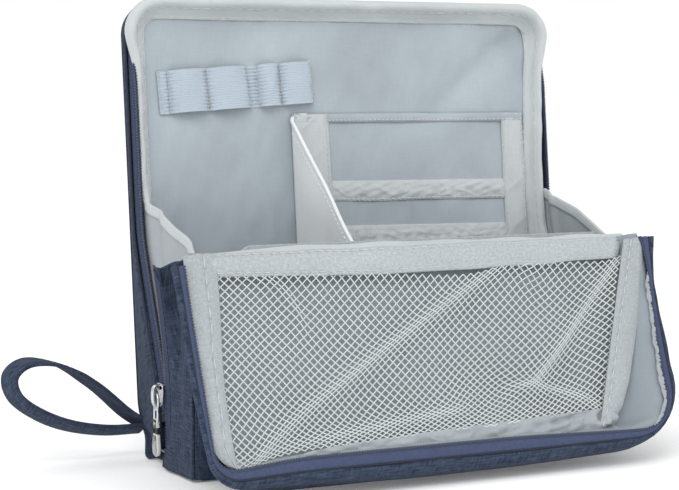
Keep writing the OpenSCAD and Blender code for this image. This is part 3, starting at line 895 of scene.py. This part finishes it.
# %% Base, upright front and the roll of cloth behind
a, b = grid(60, 24)
y = lerp(FRONT_Y + 0.4, HINGE_Y - 3.5, b)
x = (2 * a - 1) * (HALF_W - 5 * smooth(y / 20))
edge_lift = 1.6 * (np.clip(1 - (HALF_W - np.abs(x)) / 3, 0, 1) ** 2)
base_cloth = cloth(stack(x, y, 0.9 + edge_lift), 1.6)
a, b = grid(60, 50)
x, z = lerp(-HALF_W, HALF_W, a), lerp(0.9, FOLD_Z - 2, b)
front_cloth = cloth(stack(x, FRONT_Y + 0.9 + 0.25 * ripple(x, z, 61, 60), z), 1.5)
piece("base_and_front_cover", [base_cloth, front_cloth], NAVY, "base",
      ["base_shell", "base_board", "lower_front_shell", "lower_front_board"])

profile = along([(HINGE_Y + y, z) for y, z in (
    (-5, 0.9), (-1, 0.9), (0.6, 1.8), (0.4, 4), (0.1, 9), (0.9, 12), (2.9, 14), (5.1, 16))], 26)
hinge_cloth = extruded(lerp(-HALF_W, HALF_W, grid(40, 26)[0]), profile)
piece("rear_hinge_cloth", [cloth(hinge_cloth, OUTER)], NAVY, "base", ["rear_fold"],
      bend=("base", "back_half", (0, HINGE_Y - 2, 1), (0, HINGE_Y + 1, 6)))

# %% [markdown]
# ## Inside the box
# One length of lining runs down the upright front and back across the base. Two gussets close the
# sides, and a divider with a corded edge splits the space. The gussets and divider join a fixed
# half to a tilting half, so they are left in place, tied to neither body.

# %% Lining of the box
BOX_HALF = HALF_W - 5
profile = along([(FRONT_Y + 4.2, FOLD_Z - 4), (FRONT_Y + 4.4, 12), (FRONT_Y + 6.5, 6.2),
                 (FRONT_Y + 12, 5.0), (HINGE_Y - 9, 5.0)], 70)
a, b = grid(90, 70)
x = lerp(-BOX_HALF, BOX_HALF, a)
rumple = 0.4 * ripple(x, profile.sum(1), 71, 55).clip(0, 5)
box_lining = extruded(x, profile) + stack(0, rumple, rumple)
lining_piece = piece("box_lining", [cloth(box_lining)], LINING, "base",
                     ["base_lining", "lower_front_lining"])


# %% Gussets
def zip_edge(z):
    """Where the back half's zip line stands, in the row's own depth and height."""
    p = in_back(0, zip_depth(z) + 1.5, z)
    return p[..., 1], p[..., 2]


def gusset(side, crown):
    """A ruled sheet from the zip line to the front's inner corner, with pleats across it.

    crown is how far its middle stands out sideways and how far it stands up, in millimetres.
    """
    a, b = grid(46, 70)
    rear_y, rear_z = zip_edge(lerp(22.0, 132.0, b))
    front_y, front_z = FRONT_Y + 6.2, lerp(7.0, FOLD_Z - 3.5, b)
    y, z = lerp(rear_y, front_y, a), lerp(rear_z, front_z, a) + crown[1] * b ** 3 * hump(a)
    bow = hump(a) * (0.35 + 0.65 * b)
    pleat = 1.3 * hump(a) * ripple(a * 55, z * 0.35, 81 + side, 26)
    pleat -= 2.2 * np.exp(-((a - 0.16) / 0.05) ** 2) * smooth(b * 1.4)
    x = HALF_W - 2.5 + crown[0] * bow + pleat
    return stack(side * x, y, z)


for side, name, crown in ((-1, "left", (-7.0, -3.0)), (1, "right", (1.6, 1.2))):
    sheet_grid = gusset(side, crown)
    wide = length_of(sheet_grid[:, 35]) * MM
    high = length_of(sheet_grid[23]) * MM
    bends = ("base", "back_half", (0, FRONT_Y + 8, 60), (0, HINGE_Y - 2, 60))
    # The gussets take the darker grey: painted shade inside the box.
    made = piece(f"gusset_{name}_cloth", [cloth(sheet_grid)], GREY_WITH_SHADE, "base",
                 [f"gusset_{name}"], bend=bends)
    hem = sheet_grid[1:-1, -4:]
    piece(f"gusset_{name}_hem", [cloth(hem, 2.0), tube(hem[:, -1], 1.1, 8)], LIGHT, "base",
          bend=bends)

# %% Divider with its corded edge
DIVIDER_X = -35.0
# The rectangle that its cloth is cut from: as high as its rear edge, and 8 mm wider than it spans
front_top = np.array([DIVIDER_X, FRONT_Y + 6.4, FOLD_Z])
rear_top = np.array([DIVIDER_X, HINGE_Y + 12, 174.0])
a, b = grid(50, 70)
low = stack(DIVIDER_X, lerp(FRONT_Y + 6.4, HINGE_Y - 5.6, a), 5.8)
high = lerp(front_top, rear_top, a[..., None])
divider = lerp(low, high, b[..., None])
divider[..., 0] += 1.8 * hump(a) * ripple(divider[..., 1], divider[..., 2], 91, 60)
curl = rear_top + np.array([(0.6, 1.0, 1.4), (2.4, 1.6, 2.9), (5.6, 1.8, 3.4), (9.5, 1.9, 3.4)])
cord = tube(along(np.concatenate([divider[:, -1], curl]), 90), 1.05, 10)
both = [fine_row(divider, 0.965, way=(way, 0, 0)) for way in (-1, 1)]
# The divider takes the paler copy: painted light.
made = piece("divider_cloth", [cloth(divider), cord, *both], LIT_PALE, "base",
             ["divider", "divider_piping"],
             bend=("base", "back_half", (0, FRONT_Y + 10, 60), (0, HINGE_Y - 2, 60)))

# %% [markdown]
# ## The zipped pocket
# Inside the upright front lies a flat pocket closed by its own light zip. Only the upper edge of
# the zip's tape shows above the fold.

# %% Zipped pocket
pocket_y = FRONT_Y + 5.4
ZIP_Z = 109.0
POCKET_HALF = HALF_W - 14
a, b = grid(120, 14)
x = lerp(-POCKET_HALF, POCKET_HALF, a)
tapes = []
for low_z, top_z, seed in ((ZIP_Z - 7, ZIP_Z - 1.3, 95),
                           (ZIP_Z + 1.3, ZIP_Z + 1.8 + 3.7 * smooth((x + HALF_W - 24) / 8), 96)):
    tape = stack(x, pocket_y + 0.4 + 0.2 * ripple(x, b, seed, 40), lerp(low_z, top_z, b))
    tapes.append(cloth(tape[::-1]))
piece("pocket_zip_tapes", tapes, MELANGE, "base", ["zip_pocket_tape"], slot="light_grey_tape")
line = along([(-106, pocket_y + 1.0, ZIP_Z), (106, pocket_y + 1.0, ZIP_Z)], 60)
piece("pocket_zip_teeth", [tube(line, 0.7, 6), teeth(line, (0, 1, 0), wide=2.8, high=1.5)], PALE_COIL,
      "base", ["zip_pocket_coil"])
a, b = grid(90, 40)
x, z = lerp(-POCKET_HALF, POCKET_HALF, a), lerp(14.0, ZIP_Z - 8, b)
pocket = stack(x, pocket_y + 0.7 + 0.5 * ripple(x, z, 97, 45).clip(-0.6, 2), z)
made = piece("pocket_panel_cloth", [cloth(pocket[::-1])], LIGHT, "base", ["zip_pocket_panel"])

# %% [markdown]
# ## The folded flap
# The flap is a second shallow tray that hangs forward from the fold. Its soft walls spread more
# near the fold than at the bottom, so the tray's rim is wider than its floor.


# %% Outlines of the flap
def rim_left(v):
    """The rim's left edge: it flares a little at the fold."""
    return -142.8 - 3.6 * np.exp(-v / 9) + 2.4 * smooth((v - 66) / 50)


def rim_right(v):
    """The rim's right edge: it flares at the fold, dips, and spreads again at the bottom."""
    return 124.4 + 12 * np.exp(-v / 26) - 1.5 * np.exp(-((v - 33) / 18) ** 2) + 1.5 * smooth(
        (v - 78) / 25)


def coil_left(v):
    """Where the coil runs on the left, inside the tape."""
    return -138.6 + 1.5 * np.exp(-v / 12)


def coil_right(v):
    """Where the coil runs on the right: the tape narrows half way down."""
    return 118.6 + 10 * np.exp(-(v / 52) ** 2) - 5.0 * np.exp(-v / 22)


def slant(x, v):
    """A share that grows from 0 to 1 towards the flap's bottom right."""
    return smooth((x - 10) / 110) * smooth((v - 60) / 50)


def slanted(path, rise):
    """An outline whose bottom edge rises by that much towards its right end."""
    x, v = path.T
    return stack(x, v - rise * slant(x, v))


def corner_dip(x, v):
    """How much further down the zip and lining reach at the bottom left: a soft bump of 3 mm."""
    return 3.0 * np.exp(-((x + 132) / 26) ** 2) * smooth((v - 85) / 20)


FLAP_X = -4.0
FLAP_R = (15.0, 35.0)  # the radii of the flap's two corners, left and right
COIL_R = (10, 20)
RIM_TOP, RIM_N = (11.0, 6.0), 14.5
floor_u = slanted(u_path(level(FLAP_X - HALF_W), level(FLAP_X + HALF_W), 2.5, FLAP_L - 1, FLAP_R),
                  3.0)
rim_u = slanted(u_path(rim_left, rim_right, RIM_TOP, FLAP_L - 1, FLAP_R), 3.0)
coil_u = slanted(u_path(coil_left, coil_right, RIM_TOP, FLAP_L - 12.0, COIL_R), -2.5)
coil_u[:, 1] += corner_dip(*coil_u.T)
seam_u = lerp(rim_u, coil_u, 0.42)
count = len(floor_u)


def flap_ring(outline, height):
    """Points of an outline at a height off the flap's outer face."""
    return in_flap(*outline.T, height)


# %% Cover, walls, tape and coil of the flap
def rounded(v, radius):
    """How far a corner of that radius pulls the flap's edge in, at a distance down the flap."""
    return radius * (1 - np.sqrt(1 - np.clip((v - (FLAP_L - 1 - radius)) / radius, 0, 1) ** 2))


a, b = grid(70, 60)
v = lerp(2.5, FLAP_L - 1.1, b)
u = FLAP_X + lerp(-HALF_W + rounded(v, FLAP_R[0]), HALF_W - rounded(v, FLAP_R[1]), a)
v = v - 3.0 * slant(u, v)
floor_cloth = in_flap(u, v, 1.0 + 0.2 * ripple(u, v, 101, 60))
run = np.arange(count) * 2.0
walls = []
for share in np.linspace(0, 1, 10):
    outline = lerp(floor_u, rim_u, share ** 1.3)
    sag = 0.8 * hump(share) * (1 + ripple(run, share * 9, 102, 70))
    walls.append(flap_ring(outline - inward(outline) * sag[:, None], lerp(1.0, RIM_N, share)))
for share in np.linspace(0.15, 1, 7):
    roll = 1.5 * hump(min(share, 0.8)) - 0.5 * share + 0.25 * ripple(run, share * 5, 103, 24)
    walls.append(flap_ring(lerp(rim_u, seam_u, share), RIM_N + roll))
piece("flap_cover", [cloth(floor_cloth[::-1], OUTER), cloth(np.stack(walls, 1), OUTER)], NAVY,
      "front_flap",
      ["flap_shell", "flap_board", "flap_wall_left", "flap_wall_right", "flap_wall_end"])
piece("flap_seam_piping", [tube(flap_ring(seam_u, RIM_N + 1.1), 0.6, 6)], SEAM, "front_flap")

flap_tape = np.stack([flap_ring(lerp(seam_u, coil_u, s), RIM_N + 0.5 + 1.1 * hump(s))
                      for s in np.linspace(0, 1, 7)], 1)
piece("flap_zip_tape_cloth", [cloth(flap_tape), fine_row(flap_tape, 0.84)], TAPE,
      "front_flap", ["flap_zip_tape"])
coil_line = flap_ring(coil_u, RIM_N + 0.7)
coil_over = flap_ring(coil_u, RIM_N + 2.0) - coil_line
piece("flap_zip_teeth", [tube(coil_line, 0.7, 6), teeth(coil_line, coil_over, wide=2.2, high=1.5)],
      COIL, "front_flap", ["flap_zip_coil"])

# %% [markdown]
# ## Lining of the flap and the pocket's frame
# The netting hangs in a frame of light cloth: a melange hem along its top, a binding down each
# side, and a crushed strip along the bottom. The right binding leans in and shows the lining
# behind it.


# %% The netting's edges
def net_left(v):
    """The netting's left edge."""
    return -121 - 7 * smooth(v / 85)


def net_right(v):
    """The netting's right edge, which leans inwards as it goes down."""
    return 112.4 - 0.405 * (v - 15)


def net_low(a):
    """The netting's lower edge, lower at the left than at the right."""
    return 105.7 - 8.1 * a + 1.8 * (1 - smooth(a / 0.5)) + 4.2 * (1 - smooth(a / 0.25))


# %% Lining of the flap
# The rectangle that its cloth is cut from: about the flap's floor inside the zip
a, b = grid(110, 80)
v = lerp(3.5, FLAP_L - 12.2, b)
near, far = (rounded(v + 11, radius) for radius in COIL_R)
u = lerp(coil_left(v) + 4.5 + near, coil_right(v) - 0.5 - far, a)
highest = 2.6 * smooth(a * 3)
rise = lerp(12.0 + 2.0 * smooth(a * 3), 5.2, smooth(np.minimum(a, 1 - a) * 12))
rise = np.minimum(rise + 8 * smooth((v - FLAP_L + 20) / 8), 11.4 + highest)
depth = rise + 0.5 * ripple(u, v, 111, 40) + 0.4 * creases(u, v, 112, 60)
v = v + 2.5 * slant(u, v) + corner_dip(u, v)
# The flap's lining takes the darker copy: painted shade.
made = piece("flap_lining_cloth", [cloth(in_flap(u, v, depth)[::-1])], SHADED_LINING,
             "front_flap", ["flap_lining"])

a, b = grid(6, 150)
v = lerp(24.0, FLAP_L - 14.0, b)
wide = 2.6 * smooth(b * 8) * (1 + 0.25 * ripple(v, 0 * v, 115, 9))
u = coil_right(v) - rounded(v + 11, COIL_R[1]) - 0.2 - wide * (1 - a)
rise = 14.9 + 0.5 * hump(a) + 0.5 * ripple(u * 2, v * 2, 116, 5) * hump(a)
facing_edge = in_flap(u, v + 2.5 * slant(u, v), rise)
piece("flap_lining_turned_edge", [cloth(facing_edge[::-1], 0.7)], GREY_WITH_SHADE, "front_flap")

# %% The frame: hem, side bindings and the strip along the bottom
HEM_LEFT, HEM_RIGHT = -131.0, 111.0
a, b = grid(220, 14)
u = lerp(HEM_LEFT, HEM_RIGHT, a)
v = lerp(4.2 + 0.36 * ripple(u, 0 * u, 121, 90),
         15.8 + 2.6 * hump(a) + 0.4 * ripple(u, 0 * u, 122, 60), b)
u = lerp(HEM_LEFT, net_right(v) - 0.8, a)
rise = 11.6 + 1.2 * hump(b) + 0.5 * ripple(u, v * 2, 123, 34) - 2.5 * smooth(a * 40 - 39)
hem, rows = sewn(in_flap(u, v, rise), (0.1, 0.86), 5.0, 0.5, lift=0.9)
piece("mesh_hem_cloth", [cloth(hem[:, ::-1], 1.6)], MELANGE, "front_flap", ["mesh_hem"])
piece("mesh_hem_stitches", rows, THREAD, "front_flap")


def left_edges(v):
    """The left binding's two edges: inside the coil, and on the netting."""
    return coil_left(v) + 1.2 + rounded(v + 9, 14), net_left(v) + 1.0


def right_edges(v):
    """The right binding's two edges: on the netting, and a width outside it that tapers."""
    wide = np.interp(v, [6, 22, 44, 82, 96, 106], [19.0, 18.5, 16.3, 15.0, 12.5, 6.0])
    return net_right(v) - 0.6, net_right(v) + wide


for name, across, ends, edges, heights, seed, wave, share, pitch in (
        ("left", 26, (5.0, net_low(0.0) - 0.5), left_edges, (12.6, 12.6), 131, 22, 0.6, 8.5),
        ("right", 30, (6.0, net_low(1.0) + 7.5), right_edges, (13.0, 10.8), 132, 20, 0.22, 7.0)):
    a, b = grid(across, 130)
    v = lerp(*ends, b)
    u = lerp(*edges(v), a)
    pucker = 0.5 * ripple(u, v * 1.5, seed, wave) + 0.5 * creases(u, v, seed + 2, 26)
    rise = lerp(*heights, a ** 1.8) + (1.6 + pucker) * hump(a)
    strip, rows = sewn(in_flap(u, v, rise), (share,), pitch, 0.7, 1.0, axis=0)
    piece(f"mesh_binding_{name}_cloth", [cloth(strip[::-1], 0.9)], BINDING, "front_flap",
          [f"mesh_binding_{name}"])
    piece(f"mesh_binding_{name}_stitches", rows, THREAD, "front_flap")

a, b = grid(260, 26)
u = lerp(-116.0, 86.0, a)
v = lerp(net_low((u + 128) / 212) - 1.5, FLAP_L - 12.5, b)
crush = 0.9 * ripple(u, v * 2.4, 141, 15) + 0.9 * creases(u, v * 1.6, 142, 22)
crush += 3.0 * smooth(a * 5 - 3.6) * ripple(u * 1.3, v * 1.6, 143, 11)
low_strip = in_flap(u, v, lerp(11.8, 11.2, b) + crush * hump(b) * 0.9)
piece("mesh_bottom_cloth", [cloth(low_strip[:, ::-1], 0.9)], GREY_WITH_SHADE, "front_flap",
      ["mesh_bottom_strip"])

# %% [markdown]
# ## Netting
# Real netting is yarn with holes, so it is built as yarn: a lattice whose every link is a short
# rod. The lattice is drawn flat and then laid on a draped surface, with a few diagonal folds where
# the slack cloth doubles up.

# %% Netting as yarn
# A fold: where it starts and ends, as shares across and down the net, then how far it draws the
# cloth in, how wide it is and how high it stands, in millimetres.
NET_W, NET_H = 218.0, 92.0
LINK_U, LINK_V = 2.15, 1.95
YARN_R = 0.34
FOLDS = ((0.01, 1.0, 0.72, -0.06, 5.0, 8.5, 2.6), (0.99, -0.02, 0.77, 0.70, 4.6, 8.0, 2.4),
         (0.74, 0.66, 1.0, 1.0, 3.6, 6.5, 2.4), (0.04, 1.02, 0.60, 0.80, 3.4, 7.0, 1.6),
         (0.10, 0.0, 0.20, 0.24, 1.6, 3.0, 1.6))


def fold_shape(a, b, fold):
    """Distance off a fold's line in mm, its unit across, and a window that fades at its ends."""
    a0, b0, a1, b1 = fold[:4]
    line = np.array([(a1 - a0) * NET_W, (b1 - b0) * NET_H])
    long = np.hypot(*line)
    line /= long
    x, y = (a - a0) * NET_W, (b - b0) * NET_H
    on, off = x * line[0] + y * line[1], y * line[0] - x * line[1]
    off = off + 3.5 * hump(on / long)
    return off, (-line[1], line[0]), smooth(on / 14 + 0.5) * smooth((long - on) / 14 + 0.5)


def draped(a, b):
    """Where a flat point of the netting hangs: drawn in at its folds, slack near its foot."""
    lift = 0
    a0, b0 = a, b
    for fold in FOLDS:
        pull, wide, high = fold[4:]
        off, across, reach = fold_shape(a0, b0, fold)
        drawn = pull * reach * np.tanh(off / wide) * np.exp(-(off / wide / 3) ** 2)
        a, b = a - drawn * across[0] / NET_W, b - drawn * across[1] / NET_H
        lift = lift + high * reach * np.exp(-(off / wide) ** 2)
    a, b = np.clip(a, 0, 1), np.clip(b, 0, 1)
    b = 1 - (1 - b) ** (1 + 0.28 * smooth(a * 3) * smooth((1 - a) * 5))
    v = lerp(15.0 + 2.2 * hump(a), net_low(a), b)
    u = lerp(net_left(v), net_right(v) + 1.6, a)
    edge = smooth(np.minimum(np.minimum(a, 1 - a) * 9, np.minimum(b, 1 - b) * 6))
    return in_flap(u, v, 12.0 + edge * (lift - 2.6 + 0.9 * ripple(u, v, 151, 46)))


def links(ends_a, ends_b, radius):
    """Short rods of four sides between pairs of points, as one shape."""
    middle, ahead = (ends_a + ends_b) / 2, ends_b - ends_a
    half = np.linalg.norm(ahead, axis=1, keepdims=True) / 2 + radius * 0.5
    ahead = unit(ahead)
    side = unit(np.cross(ahead, in_flap(0, 0, 1) - in_flap(0, 0, 0)))
    over = np.cross(side, ahead)
    turn = around(4) + math.pi / 4
    ring = side[:, None] * np.cos(turn)[None, :, None] + over[:, None] * np.sin(turn)[None, :, None]
    centre, reach = middle[:, None] + ring * radius, (ahead * half)[:, None]
    p = np.stack([centre - reach, centre + reach], 1)
    shift = (np.arange(len(middle)) * 8)[:, None, None]
    face = (np.concatenate([quads(2, 4, loop_v=True)[:, ::-1], [[0, 1, 2, 3], [7, 6, 5, 4]]])[None]
            + shift).reshape(-1, 4)
    return p.reshape(-1, 3), [face], np.zeros((len(middle) * 8, 2))


columns, rows_n = int(NET_W / LINK_U), int(NET_H / LINK_V)
i, j = np.meshgrid(np.arange(columns + 1), np.arange(rows_n + 1), indexing="ij")
shapes = []
for step in (1, -1):
    keep = ((i + j) % 2 == 0) & (i < columns) & (j + step >= 0) & (j + step <= rows_n)
    start = (i[keep] / columns, j[keep] / rows_n)
    stop = ((i[keep] + 1) / columns, (j[keep] + step) / rows_n)
    shapes.append(links(draped(*start), draped(*stop), YARN_R))
piece("mesh_netting", shapes, NET, "front_flap", ["mesh_panel"])

# %% [markdown]
# ## Cloth over the fold
# The lining carries on from the pocket zip, over the fold and down into the flap. It bends between
# the lower front and the flap, so it is left in place, tied to neither body. A navy layer lies under
# it.

# %% Fold cloths
profile = along([(FRONT_Y + y, FOLD_Z + z) for y, z in (
    (5.8, 1.5), (3.8, 3.2), (0, 3.4), (-4.5, 1.8), (-8, -1.6))], 18)
a, b = grid(140, 18)
x = lerp(-HALF_W - 1, HALF_W - 1, a)
dip = 2.0 + 2.6 * (1 - smooth(a / 0.25)) - 0.4 * ripple(x, b * 12, 161, 35)
piece("fold_lining_cloth", [cloth(extruded(x, profile) - stack(0, 0, dip))], LIGHT, "base",
      ["front_fold"],
      bend=("base", "front_flap", (0, FRONT_Y + 2, FOLD_Z), (0, FRONT_Y - 5, FOLD_Z)))
profile = along([(FRONT_Y + y, FOLD_Z + z) for y, z in (
    (0.4, -9), (0.2, -4.2), (-0.8, -3.7), (-3.2, -8))], 14)
under = extruded(lerp(-HALF_W, HALF_W - 2, grid(60, 14)[0]), profile)
piece("fold_outer_cloth", [cloth(under, 1.0)], NAVY, "base",
      bend=("base", "front_flap", (0, FRONT_Y + 1, FOLD_Z), (0, FRONT_Y - 3, FOLD_Z)))

# %% [markdown]
# ## Wrist strap
# A ribbon of the outer fabric folded into a loop and caught in the rear seam. It leans as it
# stands out, so its flat side turns towards the light.

# %% Wrist strap ribbon
# The loop's middle line as (x, z) from its seam, and how far the ribbon leans along it in degrees
LOOP = ((0, -1), (-20, -0.5), (-40, 3.5), (-56, 10.5), (-68, 20), (-70.5, 31), (-61, 37.5),
        (-44, 34.5), (-26, 23), (-10, 8.5), (0, 1.5))
LEAN_AT, LEAN = [0, 0.3, 0.5, 0.62, 0.75, 1], [30, 30, 24, 4, -16, -24]
STRAP_W = 11.5
seam_end = np.array([-HALF_W + 0.5, HINGE_Y + 6.5, 15.5])
spine = seam_end + curve([(x, 0, z) for x, z in LOOP], 140)
out = np.cross(unit(np.gradient(spine, axis=0)), [0.0, 1.0, 0.0])
lean = np.radians(np.interp(np.linspace(0, 1, 140), LEAN_AT, LEAN))
wide = stack(0, np.cos(lean), 0) + np.sin(lean)[:, None] * out
b = np.linspace(-0.5, 0.5, 7)
cup = 0.5 * np.cos(math.pi * b)
ribbon = (spine[:, None] + wide[:, None] * (b * STRAP_W)[None, :, None]
          + out[:, None] * cup[None, :, None])
rows = [fine_row(ribbon, s, lift=0.72, way=(0, way, 0)) for s in (0.14, 0.86) for way in (-1, 1)]
made = piece("wrist_strap_ribbon", [cloth(ribbon, 1.7)], NAVY, "wrist_loop", ["wrist_strap"])
piece("wrist_strap_stitches", rows, SEAM, "wrist_loop")

# %% [markdown]
# ## Sliders and pulls
# The sliders and pulls are cast zinc, tumbled and plated, so they are bright with soft wear. A
# casting leaves its mould with eased edges, so each plate is an outline carried through a
# thickness and drawn in a little at both faces. The grip is pale enamel, with a dark moulded band
# round its waist.


# %% A cast plate
def slab(outline, near_x, far_x, ease=0.35):
    """A closed outline in (y, z) carried from one x to another, its edges eased by quarter arcs."""
    ahead = np.roll(outline, -1, 0) - np.roll(outline, 1, 0)
    inwards = unit(np.stack([-ahead[:, 1], ahead[:, 0]], 1))
    turn = np.linspace(0, math.pi / 2, 4)
    eased, inset = ease * (1 - np.cos(turn)), ease * (1 - np.sin(turn))
    x = np.concatenate([near_x + eased, far_x - eased[::-1]])[:, None]
    ring = outline + inwards * np.concatenate([inset, inset[::-1]])[:, None, None]
    p = stack(x, ring[..., 0], ring[..., 1])
    rings, count, _ = p.shape
    caps = [np.arange(count)[::-1][None], (np.arange(count) + (rings - 1) * count)[None]]
    flat = p[..., 1:].reshape(-1, 2) * MM
    return p.reshape(-1, 3), [quads(rings, count, loop_v=True), *caps], flat


def lobed(profile, middle, count=40):
    """A closed outline symmetric about y = middle, from (half width, z) points, top to bottom."""
    half = curve(profile, count)
    left, right = half * (-1, 1) + (middle, 0), half + (middle, 0)
    return np.concatenate([left, right[::-1]])


# %% Main slider, its pull and its grip
(low_x, _, low_z), (_, _, top_z) = mm_box("main_slider")
mid_y, mid_z = (sum(mm_box("main_slider"))[k] / 2 for k in (1, 2))
shield = lobed([(0.2, top_z), (3.6, top_z - 0.7), (4.5, top_z - 3.6), (3.9, top_z - 7.5),
                (2.9, low_z + 1.0), (0.2, low_z)], mid_y)
web = lobed([(0.2, top_z - 0.6), (2.2, top_z - 1.0), (2.2, top_z - 2.4), (0.2, top_z - 2.8)], mid_y)
bridge = curve([(x, mid_y, z) for x, z in (
    (-129.0, low_z + 1.0), (low_x + 1.6, low_z + 1.3), (low_x + 0.9, mid_z),
    (low_x + 1.6, top_z - 2.0), (-129.0, top_z - 1.6))], 30)
piece("main_slider_body",
      [slab(shield, -129.4, -128.2), slab(shield, -123.3, -122.3), slab(web, -128.4, -123.2),
       tube(bridge, 1.0, 12, 1.3, up=(0, 1, 0))], ZINC, "main_slider", ["main_slider"])
PIN = np.array([-131.0, mid_y, SLIDER_Z])


def link(half_w, half_h, middle, square, radius):
    """A closed wire link below the pin: an oval, or a squarer loop when its power is below 1."""
    turn = np.linspace(0, 2 * math.pi, 50)
    s, c = (np.sign(x) * np.abs(x) ** square for x in (np.sin(turn), np.cos(turn)))
    return tube(PIN + stack(0, half_w * s, middle + half_h * c), radius, 10, up=(1, 0, 0))


piece("main_pull_frame", [link(3.1, 4.2, -3.4, 1, 0.75), link(2.3, 3.6, -10.2, 0.5, 0.7)], ZINC,
      "main_pull", ["main_pull"])
low_grip = mm_box("main_pull_grip")[0][2]
neck = lobed([(1.9, 26.0), (2.5, 25.4), (2.4, 23.4), (2.7, 21.6), (0.2, 21.4)], mid_y)
band = lobed([(0.2, 21.6), (2.55, 21.5), (2.65, 19.8), (2.6, 18.2), (0.2, 18.1)], mid_y)
paddle = lobed([(0.2, 18.3), (2.7, 18.0), (3.4, 14.5), (3.9, 11.0), (3.0, 7.8),
                (0.2, low_grip + 0.2)], mid_y)
piece("main_pull_paddle", [slab(neck, -131.9, -130.1, 0.5), slab(paddle, -132.1, -129.9, 0.7)],
      ENAMEL, "main_pull", ["main_pull_grip"])
piece("main_pull_band", [slab(band, -131.8, -130.2, 0.4)], DARK, "main_pull")

# %% Finish of the small packed slider
for node in ("pocket_slider", "pocket_pull"):
    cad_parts[node].data.materials.clear()
    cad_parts[node].data.materials.append(ZINC)

low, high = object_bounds()
print("visual box", [round(x, 4) for x in low], [round(x, 4) for x in high])
